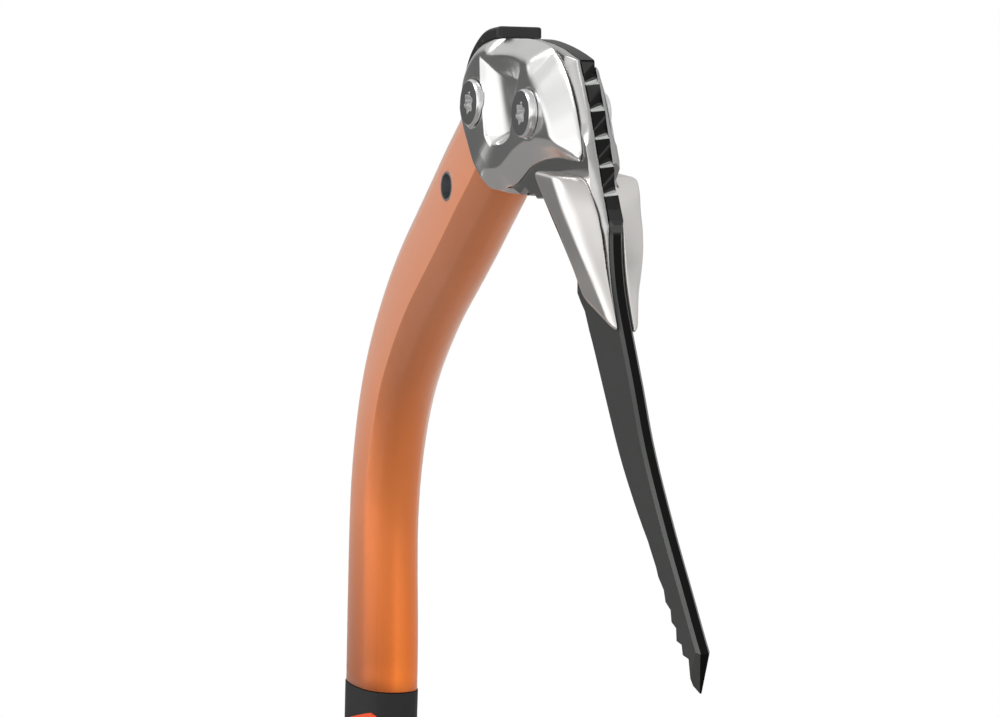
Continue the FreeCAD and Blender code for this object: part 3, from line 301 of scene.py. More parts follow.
def add_ribs(tree, node, axis, pitch, depth, margin):
    """Cross ribs along an axis of a node, with painted shade in the grooves and a painted
    highlight on the crests, fading at both ends.
    """
    axis = Vector(axis).normalized()
    reach = [(node.matrix_world @ v.co).dot(axis) for v in node.data.vertices]
    low, high = min(reach), max(reach)
    position = add_node(tree, "NewGeometry").outputs["Position"]
    along = add_node(tree, "VectorMath", {0: position, 1: axis},
                     operation="DOT_PRODUCT").outputs["Value"]
    phase = math_node(tree, "MULTIPLY", along, 2 * math.pi / pitch)
    sine = math_node(tree, "SINE", phase)
    mask = math_node(tree, "MULTIPLY",
                     span(tree, along, low + margin, low + margin * 1.5),
                     span(tree, along, high - margin, high - margin * 1.5))
    wave = math_node(tree, "MULTIPLY", sine, mask)
    grain = find(tree, "Bump")
    relief = add_node(tree, "Bump", {"Strength": 1.0, "Distance": depth, "Height": wave})
    tree.links.new(relief.outputs[0], grain.inputs["Normal"])
    # painted shade in the grooves, painted highlight on the crests
    multiply_base(tree, ramp(tree, span(tree, wave, -1, 1), [
        (0.0, 0.55), (0.30, 0.60), (0.45, 1.0), (0.75, 1.15), (1.0, 1.5)]))


def paint_nodes():
    """Gives each CAD node the material of its slot."""
    slot_of = {s["node"]: s["material_slot"] for s in frame["record"]["subparts"]}
    for name, node in NODES.items():
        finish = MATERIALS[slot_of.get(name, "bolt_steel")]
        if not node.material_slots:
            node.data.materials.append(finish)
        for slot in node.material_slots:
            slot.material = finish


MATERIALS = {row[0]: material(*row[:-1], **row[-1]) for row in FINISHES}
paint_pick_light_and_shade(MATERIALS["pick_steel"].node_tree)
paint_bolt_light(MATERIALS["bolt_steel"].node_tree)
finish_shaft_with_painted_light(MATERIALS["shaft_anodised"].node_tree)
paint_nodes()


# ------------------------------------------------------- field to mesh
def surface_nets(field, origin, step):
    """Closed quad mesh of the zero level: one vertex in each cell that it crosses."""
    nx, ny, nz = field.shape
    solid = field < 0
    corners = np.array([(i, j, k) for i in (0, 1) for j in (0, 1) for k in (0, 1)])
    count = np.zeros((nx - 1, ny - 1, nz - 1), np.int8)
    for i, j, k in corners:
        count += solid[i:nx - 1 + i, j:ny - 1 + j, k:nz - 1 + k]
    active = np.argwhere((count > 0) & (count < 8))
    index = -np.ones(count.shape, np.int64)
    index[tuple(active.T)] = np.arange(len(active))

    # each vertex is the mean of the crossings on its cell's edges
    values = np.stack([field[tuple((active + c).T)] for c in corners], 1)
    total = np.zeros((len(active), 3))
    hits = np.zeros(len(active))
    for a in range(8):
        for b in range(a + 1, 8):
            if np.abs(corners[a] - corners[b]).sum() != 1:
                continue
            va, vb = values[:, a], values[:, b]
            cross = (va < 0) != (vb < 0)
            t = np.where(cross, va / np.where(cross, va - vb, 1.0), 0.0)
            point = corners[a][None] + t[:, None] * (corners[b] - corners[a])[None]
            total += np.where(cross[:, None], point, 0.0)
            hits += cross
    verts = (active + total / hits[:, None]) * step + np.asarray(origin)[None]

    # each crossed grid edge joins the four cells round it
    quads = []
    for axis in range(3):
        before = np.take(solid, range(0, solid.shape[axis] - 1), axis)
        after = np.take(solid, range(1, solid.shape[axis]), axis)
        edges = np.argwhere(before != after)
        u, v = [k for k in range(3) if k != axis]
        inner = ((edges[:, u] > 0) & (edges[:, v] > 0)
                 & (edges[:, u] < field.shape[u] - 1) & (edges[:, v] < field.shape[v] - 1))
        edges = edges[inner]
        ring = []
        for du, dv in ((1, 1), (0, 1), (0, 0), (1, 0)):
            cell = edges.copy()
            cell[:, u] -= du
            cell[:, v] -= dv
            ring.append(index[tuple(cell.T)])
        quad = np.stack(ring, 1)
        keep = solid[tuple(edges.T)]
        if axis == 1:
            keep = ~keep
        quad[~keep] = quad[~keep][:, ::-1]
        quads.append(quad)
    return verts, np.concatenate(quads)


def trilinear(grid, origin, step, points):
    place = (points - np.asarray(origin)[None]) / step
    i = np.clip(np.floor(place).astype(int), 0, np.array(grid.shape[:3]) - 2)
    f = place - i
    out = 0
    for a in (0, 1):
        for b in (0, 1):
            for c in (0, 1):
                weight = ((f[:, 0] if a else 1 - f[:, 0]) * (f[:, 1] if b else 1 - f[:, 1])
                          * (f[:, 2] if c else 1 - f[:, 2]))
                value = grid[i[:, 0] + a, i[:, 1] + b, i[:, 2] + c]
                out = out + (weight[:, None] * value if value.ndim > 1 else weight * value)
    return out


def field_mesh(field, origin, step):
    """Quad mesh pulled onto the zero level, with normals from the gradient."""
    verts, quads = surface_nets(field, origin, step)
    gradient = np.stack(np.gradient(field, step), -1)
    for _ in range(2):
        f = trilinear(field, origin, step, verts)
        g = trilinear(gradient, origin, step, verts)
        verts = verts - g * (f / np.maximum((g * g).sum(1), 0.2))[:, None] * 0.8
    g = trilinear(gradient, origin, step, verts)
    normals = g / np.maximum(np.linalg.norm(g, axis=1), 1e-6)[:, None]
    return verts, quads, normals


def add_solid(name, field, grid, step, slot, replaced, mirror=False, reverse=False):
    """Object from a field on grid (xs, ys, zs); mirror swaps right for left."""
    verts, quads, normals = field_mesh(field, [axis[0] for axis in grid], step)
    if mirror:
        verts[:, 1] *= -1
        normals[:, 1] *= -1
    if reverse:
        quads = quads[:, ::-1]
    mesh = bpy.data.meshes.new(name)
    mesh.from_pydata((verts * MM).tolist(), [], quads.tolist())
    mesh.update()
    mesh.validate(clean_customdata=False)
    bm = bmesh.new()
    bm.from_mesh(mesh)
    bmesh.ops.recalc_face_normals(bm, faces=bm.faces)
    bm.to_mesh(mesh)
    bm.free()
    mesh.polygons.foreach_set("use_smooth", [True] * len(mesh.polygons))
    mesh.normals_split_custom_set_from_vertices(normals.tolist())
    mesh.materials.append(MATERIALS[slot])
    obj = bpy.data.objects.new(name, mesh)
    bpy.context.scene.collection.objects.link(obj)
    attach(obj, "tool")
    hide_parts(replaced)


# ---------------------------------------------------------- shape helpers
def smax(a, b, k):
    """Maximum with a rounded join of width k."""
    h = np.maximum(k - np.abs(a - b), 0.0) / k
    return np.maximum(a, b) + h * h * k * 0.25


def smin(a, b, k):
    return -smax(-a, -b, k)


def look_up(table, value):
    """Straight-line interpolation in a table of (place, value), flat beyond its ends."""
    return np.interp(value, *zip(*table))


def smooth_interp(z, zs, values):
    """Cubic through samples, flat beyond the ends."""
    slope = np.gradient(values, zs)
    z = np.clip(z, zs[0], zs[-1])
    i = np.clip(np.searchsorted(zs, z) - 1, 0, len(zs) - 2)
    d = zs[i + 1] - zs[i]
    t = (z - zs[i]) / d
    return ((2 * t**3 - 3 * t**2 + 1) * values[i] + (t**3 - 2 * t**2 + t) * d * slope[i]
            + (-2 * t**3 + 3 * t**2) * values[i + 1] + (t**3 - t**2) * d * slope[i + 1])


def spline(points, steps):
    """Smooth open curve through points, with a number of steps in each span."""
    P = np.asarray(points, float)
    P = np.vstack([2 * P[0] - P[1], P, 2 * P[-1] - P[-2]])
    out = []
    for p0, p1, p2, p3 in zip(P, P[1:], P[2:], P[3:]):
        d = np.linalg.norm(p2 - p1)
        m1 = (p2 - p0) / np.linalg.norm(p2 - p0) * d
        m2 = (p3 - p1) / np.linalg.norm(p3 - p1) * d
        for k in range(steps):
            t = k / steps
            out.append((2 * t**3 - 3 * t**2 + 1) * p1 + (t**3 - 2 * t**2 + t) * m1
                       + (-2 * t**3 + 3 * t**2) * p2 + (t**3 - t**2) * m2)
    out.append(P[-2])
    return np.array(out)


def line_distance(x, z, points, closed=False):
    """Distance from points of the side view to a polyline."""
    P = np.asarray(points, float)
    Q = np.roll(P, -1, 0) if closed else P[1:]
    P = P if closed else P[:-1]
    best = np.full(np.shape(x), 1e9)
    for (px, pz), (qx, qz) in zip(P, Q):
        dx, dz = qx - px, qz - pz
        t = np.clip(((x - px) * dx + (z - pz) * dz) / (dx * dx + dz * dz), 0, 1)
        best = np.minimum(best, (x - px - t * dx) ** 2 + (z - pz - t * dz) ** 2)
    return np.sqrt(best)


def inside(x, z, points):
    P = np.asarray(points, float)
    result = np.zeros(np.shape(x), bool)
    for (px, pz), (qx, qz) in zip(P, np.roll(P, -1, 0)):
        if pz == qz:
            continue
        level = (pz > z) != (qz > z)
        result ^= level & (x < (qx - px) * (z - pz) / (qz - pz) + px)
    return result


def outline_field(x, z, points):
    """Signed distance to a closed outline."""
    d = line_distance(x, z, points, True)
    return np.where(inside(x, z, points), -d, d)


def circle_distance(x, z, centre):
    return np.hypot(x - centre[0], z - centre[1])


def curve_normals(points):
    t = np.gradient(points, axis=0)
    t /= np.linalg.norm(t, axis=1)[:, None]
    return np.stack([t[:, 1], -t[:, 0]], 1)


def axis_to_side(along, depth):
    """Place along the tube axis and in front of it, as (x, z)."""
    (px, pz), (dx, dz) = AXIS_POINT, AXIS_DIR
    return (px + dx * along + dz * depth, pz + dz * along - dx * depth)


def side_to_axis(x, z):
    """Place (x, z) as distance along the tube axis and in front of it."""
    (px, pz), (dx, dz) = AXIS_POINT, AXIS_DIR
    return (x - px) * dx + (z - pz) * dz, (x - px) * dz - (z - pz) * dx


def plate_outer(z):
    """y of the plate's outer face, tapering downwards."""
    drop = PLATE_OUTER - PLATE_INNER - PLATE_TIP
    return np.minimum(PLATE_OUTER, PLATE_OUTER + (z - PLATE_TAPER_TOP) * drop / PLATE_TAPER_DROP)


# -------------------------------------------------------- tube section
TUBE_HALF_DEPTH, TUBE_HALF_WIDTH = 17.7, 9.8
ARC_STEPS = 12
# (depth, width) as shares of the half sizes; every other point ends an arc
TUBE_LOOP = [
    (-0.50, -0.925), (0, -1), (0.46, -0.99), (0.655, -0.805), (0.83, -0.60), (1, 0),
    (0.83, 0.60), (0.655, 0.805), (0.46, 0.99), (0, 1), (-0.50, 0.925), (-0.69, 0.818),
    (-0.85, 0.645), (-1, 0), (-0.85, -0.645), (-0.69, -0.818)]


def arc(start, middle, end, count):
    """Points from start towards end, which is left out, on the circle through all three."""
    a, b = middle - start, end - start
    d = 2 * (a[0] * b[1] - a[1] * b[0])
    ux = (b[1] * (a @ a) - a[1] * (b @ b)) / d
    uy = (a[0] * (b @ b) - b[0] * (a @ a)) / d
    centre = start + np.array([ux, uy])
    radius = np.hypot(ux, uy)
    t0, t1, t2 = [math.atan2(*(p - centre)[::-1]) for p in (start, middle, end)]
    turn = 2 * math.pi
    sweep = (t2 - t0) % turn
    if (t1 - t0) % turn >= sweep:
        sweep -= turn
    t = t0 + sweep * np.arange(count) / count
    return np.stack([centre[0] + radius * np.cos(t), centre[1] + radius * np.sin(t)], 1)


def tube_section():
    """Tube cross-section as (depth, width) points."""
    loop = np.array(TUBE_LOOP) * (TUBE_HALF_DEPTH, TUBE_HALF_WIDTH)
    n = len(loop)
    points = np.concatenate([arc(loop[k], loop[k + 1], loop[(k + 2) % n], ARC_STEPS)
                             for k in range(0, n, 2)])
    # even spacing round the loop, then a light rounding of the corners
    lengths = np.linalg.norm(np.roll(points, -1, 0) - points, axis=1)
    run = np.concatenate([[0], np.cumsum(lengths)])
    even = np.arange(len(points)) * run[-1] / len(points)
    loop = np.vstack([points, points[:1]])
    points = np.stack([np.interp(even, run, loop[:, 0]), np.interp(even, run, loop[:, 1])], 1)
    return points * 0.5 + (np.roll(points, 1, 0) + np.roll(points, -1, 0)) * 0.25


# --------------------------------------------------------------- head body
HEAD_STEP = 0.30
HEAD_HALF = 9.6          # half width of the cheeks
HEAD_REACH = 12.6        # half width of the sampled space
# side outline (x, z): rear, top, the slanting front seam and the arch underneath
HEAD_REAR = [(8.0, 25.0), (8.5, 27.6), (9.7, 31.0), (11.9, 33.9), (15.1, 36.7), (20.0, 39.1),
             (26.0, 40.1), (33.8, 40.3)]
HEAD_TOP = [(33.8, 40.3), (42.5, 39.6), (50.6, 38.9), (60.3, 37.0), (67.2, 35.0)]
HEAD_SEAM = [(67.2, 35.0), (72.4, 31.0), (77.2, 25.4), (81.0, 19.0), (83.3, 13.6), (84.7, 9.8),
             (85.3, 6.6)]
HEAD_ARCH = [(83.8, 3.6), (78.0, 4.1), (71.0, 5.0), (63.0, 5.2), (56.0, 4.6), (50.0, 3.4),
             (45.0, 1.2), (41.0, -0.4), (37.0, -1.2), (31.0, -1.6)]
# half width at an edge, its growth away from the edge, rounding where it meets the cheek
SEAM_SLOPE = (4.6, 0.52, 0.7)
TOP_SLOPE = (5.2, 0.85, 1.4)
ARCH_SLOPE = (5.0, 1.0, 1.9)
REAR_SLOPE = (7.0, 1.15, 2.2)
RIGHT_TOP_EDGE = [(36, 5.2), (44, 2.6), (54, -0.4)]   # (x, half width at the right top edge)
# swelling of the cheek round each bolt: bolt centre, height, spread
REAR_SWELL = (REAR_BOLT, 1.8, 11.0)
FRONT_SWELL = (FRONT_BOLT, 0.8, 9.5)
SEAT_RADIUS, SEAT_Y = 7.1, 9.55                       # flat bolt seats
RIGHT_BOLT_HOLE = 4.55
SLOT_HALF = 4.66
SHOULDER_GAP = 0.03
# pocket edges on the cheek: (z, x) at the rear, (x, z) at the top, (z, x) at the front
POCKET_REAR = [(9.5, 33.5), (11.2, 32.1), (13.2, 30.1), (18.7, 28.05), (26.6, 25.5),
               (34.0, 24.5), (40.0, 24.1)]
POCKET_TOP = [(20, 33.0), (24.5, 34.8), (26.0, 35.7), (30.0, 36.3), (34.7, 36.4), (39.5, 36.1),
              (43.9, 35.4), (48.5, 34.0), (51.9, 32.6), (53.6, 30.4), (60, 20.0)]
POCKET_FRONT = [(8, 42.2), (11, 43.8), (12.3, 45.5), (15, 46.4), (22, 49), (25.3, 50.4),
                (30.7, 53.6), (34, 53.0)]
POCKET_ENTRY = 0.34                                   # slope of the floor at the rear edge
POCKET_MAX = 4.3
# growth of the head over the tube section: (distance along the axis, growth)
NECK_GROWTH = [(28.0, 1.0), (30.5, 1.0), (36.0, 0.98), (42.0, 0.6), (50.0, -0.1),
               (54.0, -1.2), (60.0, -3.5)]
NECK_BLEND = [(2.0, 3.6), (12.0, 1.8)]                # (z, width of the join to the head)
NECK_TOP = 52.0                                       # along the axis
TABLE_STEP, TABLE_DEPTH, TABLE_WIDTH = 0.25, 45.0, 16.0
# outer curve of the hammer strap (x, z), from low at the rear up over the top
STRAP_CURVE = [(4.6, 24.5), (4.7, 28.3), (6.0, 32.0), (8.7, 36.0), (12.8, 39.5), (18.4, 42.4),
               (23.2, 43.5), (30.8, 43.8)]
STRAP_GROOVE_START = (4.9, 22.6)
STRAP_GROOVE_OUT, STRAP_GROOVE_IN, STRAP_GROOVE_HALF = 6.0, 3.5, 7.0


def swelling(X, Z, centre, height, spread):
    return height * np.exp(-(circle_distance(X, Z, centre) / spread) ** 2)


def pocket_depth(X, Z, rear_swell, front_swell):
    """Depth of the pocket below the cheek."""
    into = X - look_up(POCKET_REAR, Z) - 2.2 * rear_swell
    bend = 0.0102 + 0.0027 * np.tanh((Z - 16.5) / 6.0)
    capped = np.minimum(into, POCKET_ENTRY / (2 * bend))    # level past the deepest place
    depth = np.where(into < 0, 1.6 * into, POCKET_ENTRY * capped - bend * capped * capped)
    # walls at the top, the front and the bottom
    depth = smin(depth, 0.33 * (look_up(POCKET_TOP, X) - Z), 0.12)
    depth = smin(depth, 0.9 * (look_up(POCKET_FRONT, Z) + 1.8 * front_swell - X), 0.5)
    depth = smin(depth, 1.3 * (Z - (9.9 + (X - 35.0) * 0.11)), 2.2)
    return np.minimum(depth, POCKET_MAX)


def build_head():
    xs = np.arange(3.0, 88.0 + HEAD_STEP, HEAD_STEP)
    half_count = int(math.ceil(HEAD_REACH / HEAD_STEP))
    ys = np.arange(-half_count, half_count + 1) * HEAD_STEP
    zs = np.arange(-12.0, 42.6 + HEAD_STEP, HEAD_STEP)
    X, Z = np.meshgrid(xs, zs, indexing="ij")
    along, in_front = side_to_axis(X, Z)

    rear, top, seam, arch = [spline(c, 5) for c in (HEAD_REAR, HEAD_TOP, HEAD_SEAM, HEAD_ARCH)]
    low = [axis_to_side(TUBE_END - 3.5, 14.0), axis_to_side(TUBE_END - 3, -17.0)]
    side = outline_field(X, Z, np.concatenate([rear, top[1:], seam[1:], arch, np.array(low)]))
    to_seam, to_top, to_arch, to_rear = [line_distance(X, Z, c) for c in (seam, top, arch, rear)]

    rear_swell = swelling(X, Z, *REAR_SWELL)
    front_swell = swelling(X, Z, *FRONT_SWELL)
    cheek = HEAD_HALF + (rear_swell + front_swell)
    pocket = cheek - pocket_depth(X, Z, rear_swell, front_swell)

    def half_width(top_edge):
        width = cheek
        for distance, (edge, slope, blend) in (
                (to_seam, SEAM_SLOPE), (to_top, (top_edge, *TOP_SLOPE[1:])),
                (to_arch, ARCH_SLOPE), (to_rear, REAR_SLOPE)):
            width = smin(width, edge + slope * distance, blend)
        return width

    left_width = half_width(TOP_SLOPE[0])
    right_width = half_width(look_up(RIGHT_TOP_EDGE, X))

    # tube section sampled in a table of (depth, width), read between its rows and columns
    depths = np.arange(-TABLE_DEPTH, TABLE_DEPTH, TABLE_STEP)
    widths = np.arange(0.0, TABLE_WIDTH, TABLE_STEP)
    table = outline_field(*np.meshgrid(depths, widths, indexing="ij"), tube_section())
    row = np.clip((in_front - depths[0]) / TABLE_STEP, 0, len(depths) - 1.01)
    row_0 = row.astype(int)
    row_f = row - row_0
    growth = look_up(NECK_GROWTH, along)
    neck_blend = look_up(NECK_BLEND, Z)

    # groove for the strap of the hammer
    curve = spline([STRAP_GROOVE_START] + STRAP_CURVE, 5)
    normal = curve_normals(curve)
    groove = outline_field(X, Z, np.concatenate([
        curve - normal * STRAP_GROOVE_OUT, (curve + normal * STRAP_GROOVE_IN)[::-1]]))

    def layer(y):
        ay = abs(y)
        width = right_width if y > 0 else left_width
        f = smax(side, (ay - width) * 0.92, 0.45)
        # swelling that covers the end of the tube
        col = int(ay / TABLE_STEP)
        col_f = ay / TABLE_STEP - col
        line = table[:, col] * (1 - col_f) + table[:, col + 1] * col_f
        neck = line[row_0] * (1 - row_f) + line[row_0 + 1] * row_f - growth
        neck = smax(neck, along - NECK_TOP, 3.0)
        f = smin(f, neck, neck_blend)
        f = smax(f, (ay - pocket) * 0.95, 0.35)
        for bolt in (FRONT_BOLT, REAR_BOLT):
            r = circle_distance(X, Z, bolt)
            f = smax(f, -smax(r - SEAT_RADIUS, SEAT_Y - ay, 0.3), 0.3)
            f = np.maximum(f, -(r - (BOLT_HOLE if y < 0 else RIGHT_BOLT_HOLE)))
        f = smax(f, TUBE_END + SHOULDER_GAP - along, 0.9)
        f = smax(f, -np.maximum(ay - SLOT_HALF, SLOT_FLOOR - along), 0.25)
        return np.maximum(f, -np.maximum(groove, ay - STRAP_GROOVE_HALF))

    field = np.stack([layer(y) for y in ys], 1).astype(np.float32)
    add_solid("head_forging", field, (xs, ys, zs), HEAD_STEP, "head_satin", "head_body")


# ------------------------------------------------------------------ hammer
HAMMER_STEP = 0.24
STRAP_THICK, STRAP_HALF, STRAP_ROUND = 3.4, 6.85, 1.3
LEG_OUTER = 4.58          # the two legs lie between the plate's inner face and this y
# side outline of the legs (x, z)
LEG = [(11.0, 27.6), (12.0, 30.6), (14.0, 33.3), (17.0, 35.9), (21.4, 38.1), (26.0, 40.6),
       (30.4, 41.6), (29.6, 32.0), (28.3, 22.6), (22.5, 17.0), (15.0, 22.5)]


def build_hammer():
    """Strap over the rear of the head, with two legs down to the rear bolt."""
    xs = np.arange(2.6, 32.6, HAMMER_STEP)
    ys = np.arange(-7.8, 7.8 + HAMMER_STEP, HAMMER_STEP)
    zs = np.arange(15.0, 45.4, HAMMER_STEP)
    X, Z = np.meshgrid(xs, zs, indexing="ij")
    curve = spline(STRAP_CURVE, 6)
    inner = (curve + curve_normals(curve) * STRAP_THICK)[::-1]
    strap = outline_field(X, Z, np.concatenate([curve, inner]))
    leg = outline_field(X, Z, LEG)
    leg = np.maximum(leg, SLOT_FLOOR + 0.2 - side_to_axis(X, Z)[0])
    leg = np.maximum(leg, BOLT_HOLE - circle_distance(X, Z, REAR_BOLT))

    def layer(y):
        ay = abs(y)
        return np.minimum(smax(strap, ay - STRAP_HALF, STRAP_ROUND),
                          np.maximum(leg, np.maximum(PLATE_INNER - ay, ay - LEG_OUTER)))

    field = np.stack([layer(y) for y in ys], 1)
    add_solid("hammer_strap", field, (xs, ys, zs), HAMMER_STEP, "hammer_black", "mini_hammer")


# ------------------------------------------------------------------ plates
PLATE_STEP = 0.25
# side outline (x, z): top, front edge downwards, lower edge back to the rear
PLATE_TOP = [(33.8, 40.0), (42.5, 39.5), (50.6, 38.8), (60.3, 36.9), (67.2, 35.1), (77.4, 31.6)]
PLATE_FRONT = [(77.4, 31.6), (81.8, 23.2), (84.5, 17.6), (86.7, 12.1), (88.8, 6.6), (90.9, 1.1),
               (92.9, -4.3), (95.3, -9.6), (97.0, -13.8), (96.7, -18.0), (97.3, -24.0),
               (98.8, -30.9), (101.9, -39.6)]
PLATE_LOW = [(101.9, -39.6), (87.0, -31.0), (79.0, -25.4), (73.0, -19.8), (68.0, -14.6),
             (61.5, -9.0), (57.2, -5.2), (52.5, -5.2), (50.7, -3.8), (48.5, -4.3), (44.7, -2.0),
             (41.2, -3.7), (33.8, -1.2)]
PLATE_BEVEL = [(-40, 1.6), (-14, 3.0), (-4, 3.0), (0, 2.2), (4, 1.1), (8, 1.3), (14, 4.6),
               (31, 5.2)]                        # (z, width of the front bevel)
PLATE_EDGE = 2.35                                # y of the bevel at the front edge
PLATE_TOP_EDGE, PLATE_TOP_RISE = 4.4, 0.85       # y at the top edge and growth below it
RIGHT_PLATE_TOP = [(38, 4.4), (46, 0.6)]         # (x, y at the right plate's top edge)
RIGHT_PLATE_TRIM = [(-1.0, 4.25), (5.0, -2.0)]   # (z, strip cut off the right front edge)
PLATE_WEIGHT_HOLE = 2.55


def build_plate(side, sign):
    """Flat plate beside the pick, modelled on the right and mirrored for the left."""
    xs = np.arange(32.6, 103.4, PLATE_STEP)
    ys = np.arange(1.3, 5.4, PLATE_STEP)
    zs = np.arange(-41.4, 41.4, PLATE_STEP)
    X, Z = np.meshgrid(xs, zs, indexing="ij")
    outline = outline_field(X, Z, PLATE_TOP[:-1] + PLATE_FRONT + PLATE_LOW[1:])
    to_front = line_distance(X, Z, spline(PLATE_FRONT, 4))
    top_edge = PLATE_TOP_EDGE
    if sign > 0:
        outline = smax(outline, look_up(RIGHT_PLATE_TRIM, Z) - to_front, 0.3)
        top_edge = look_up(RIGHT_PLATE_TOP, X)
    # bevel along the front: part straight, part round
    t = np.clip(to_front / look_up(PLATE_BEVEL, Z), 0, 1)
    rise = 0.45 * t + 0.55 * np.sqrt(1 - (1 - t) ** 2)
    face = PLATE_EDGE + (plate_outer(Z) - PLATE_EDGE) * rise
    to_top = line_distance(X, Z, PLATE_TOP)
    face = smin(face, top_edge + PLATE_TOP_RISE * to_top, 0.4)
    for bolt, radius in ((FRONT_BOLT, BOLT_HOLE), (WEIGHT_BOLT, PLATE_WEIGHT_HOLE)):
        outline = np.maximum(outline, radius - circle_distance(X, Z, bolt))
    field = np.stack([np.maximum(smax(outline, (y - face) * 0.8, 0.35), PLATE_INNER - y)
                      for y in ys], 1)
    add_solid("tongue_" + side, field, (xs, ys, zs), PLATE_STEP, "tongue_satin",
              "tongue_plate_" + side, mirror=sign < 0)


# ----------------------------------------------------------------- weights
WEIGHT_STEP = 0.28
# z, x of the seam with the plate, x of the outer front edge, x of the rear, y of the outer face
WEIGHT_SECTIONS = np.array([
    (-44.4, 105.0, 104.6, 90.5, 3.3),
    (-36.3, 101.6, 101.0, 87.5, 4.9),
    (-31.0, 99.6, 98.6, 86.0, 6.2),
    (-25.6, 98.0, 96.4, 84.5, 7.7),
    (-20.3, 96.9, 94.0, 82.4, 9.0),
    (-14.9, 95.6, 91.0, 79.6, 10.0),
    (-9.4, 93.3, 87.6, 75.7, 10.9),
    (-4.0, 89.2, 84.9, 71.6, 11.7),
    (0.0, 85.3, 82.3, 68.5, 12.0),
    (4.0, 82.0, 79.5, 66.0, 12.1)])
RIGHT_EXTRA = [(-44.0, 0.1), (-32.0, 0.1), (-14.0, 0.9), (0.0, 1.0)]  # (z, extra y on the right)
WEIGHT_GAP = 0.06                                  # clearance to the plate
WEIGHT_CUT = ((84.4, -32.2), (104.4, -43.4))       # lower rear corner cut off along this line
WEIGHT_BOTTOM = -43.9
WEIGHT_TOP = 2.0
WRAP_INNER, WRAP_DEPTH = 2.12, 4.1                 # right weight, round its plate's front edge
WEIGHT_HOLE = 2.6
RIGHT_SINK_RADIUS, RIGHT_SINK_Y = 4.35, 7.4        # wider bore from this y outwards
LEFT_HOLE_END = 8.2                                # the left hole is blind, up to this y


def build_weight(side, sign):
    """Tapering weight on the outside of a plate, modelled on the right."""
    xs = np.arange(62.0, 107.0, WEIGHT_STEP)
    ys = np.arange(1.0, 14.6, WEIGHT_STEP)
    zs = np.arange(-46.5, 4.5, WEIGHT_STEP)
    X, Y, Z = np.meshgrid(xs, ys, zs, indexing="ij")
    section_z, *columns = WEIGHT_SECTIONS.T
    seam_x, outer_x, rear_x, outer_y = [smooth_interp(zs, section_z, c) for c in columns]
    if sign > 0:
        outer_y = outer_y + look_up(RIGHT_EXTRA, zs)
    inner_y = plate_outer(Z) + WEIGHT_GAP

    # plane through the seam and the outer front edge
    dx, dy = outer_x - seam_x, outer_y - inner_y
    front = ((X - seam_x) * dy - (Y - inner_y) * dx) / np.sqrt(dx * dx + dy * dy) * 0.95
    # the top dips towards the front
    top = (Z - (WEIGHT_TOP - np.maximum(X - 67.0, 0) * 0.14
                - np.maximum(X - 84.0, 0) * 0.12)) * 0.98
    (ax, az), (bx, bz) = WEIGHT_CUT
    length = math.hypot(bx - ax, bz - az)
    cut = (X - ax) * ((bz - az) / length) + (Z - az) * (-(bx - ax) / length)

    f = smax(front, Y - outer_y, 2.6 if sign < 0 else 1.6)
    f = smax(f, (rear_x - X) * 0.88, 1.9)
    f = smax(f, cut, 2.2)
    f = smax(f, WEIGHT_BOTTOM - Z, 1.2)
    f = smax(f, top, 1.6)
    r = circle_distance(X, Z, WEIGHT_BOLT)
    if sign > 0:
        # wraps round the front edge of its plate up to the pick
        edge_x = look_up([(z, x) for x, z in PLATE_FRONT[::-1]], zs)
        f = smax(f, WRAP_INNER - Y, 0.3)
        f = smax(f, -np.maximum(Y - inner_y, X - (edge_x - WRAP_DEPTH)), 0.2)
        f = np.maximum(f, WEIGHT_HOLE - r)
        f = np.maximum(f, -np.maximum(r - RIGHT_SINK_RADIUS, RIGHT_SINK_Y - Y))
    else:
        f = smax(f, inner_y - Y, 0.3)
        f = np.maximum(f, -np.maximum(r - WEIGHT_HOLE, Y - LEFT_HOLE_END))
    add_solid("weight_" + side, f, (xs, ys, zs), WEIGHT_STEP, "weight_satin",
              "pick_weight_" + side, mirror=sign < 0, reverse=sign < 0)


# ------------------------------------------------------- finished CAD nodes
# bevel width of the sharp edges, in mm
EDGE_WIDTHS = {
    "upper_rest": 0.7, "lower_rest": 0.7, "rest_lever": 0.6, "spike": 0.25, "end_plug": 0.3,
    "upper_grip": 0.25, "upper_grip_marks": 0.12, "handle_grip": 0.5}


def soften(node, width):
    """Small bevel on the sharp edges of a CAD node."""
    bevel = node.modifiers.new("edge", "BEVEL")
    bevel.width = width * MM
    bevel.segments = 2
    bevel.limit_method = "ANGLE"
    bevel.angle_limit = math.radians(32.0)
    bevel.use_clamp_overlap = True
    bevel.harden_normals = False


build_head()
build_hammer()
for side, sign in (("left", -1), ("right", 1)):
    build_weight(side, sign)
    build_plate(side, sign)
add_ribs(MATERIALS["handle_rubber"].node_tree, NODES["handle_grip"],
         axis=(-0.309, 0.0, 0.951), pitch=0.0055, depth=0.00035, margin=0.012)
for name, width in EDGE_WIDTHS.items():
    soften(NODES[name], width)


# ------------------------------------------------------------------- floor
FLOOR_GAP = 0.0006                      # below the lowest point of the tool
FLOOR_RADII = (0.3, 0.7, 1.2, 2.0)
FLOOR_SIDES = 96


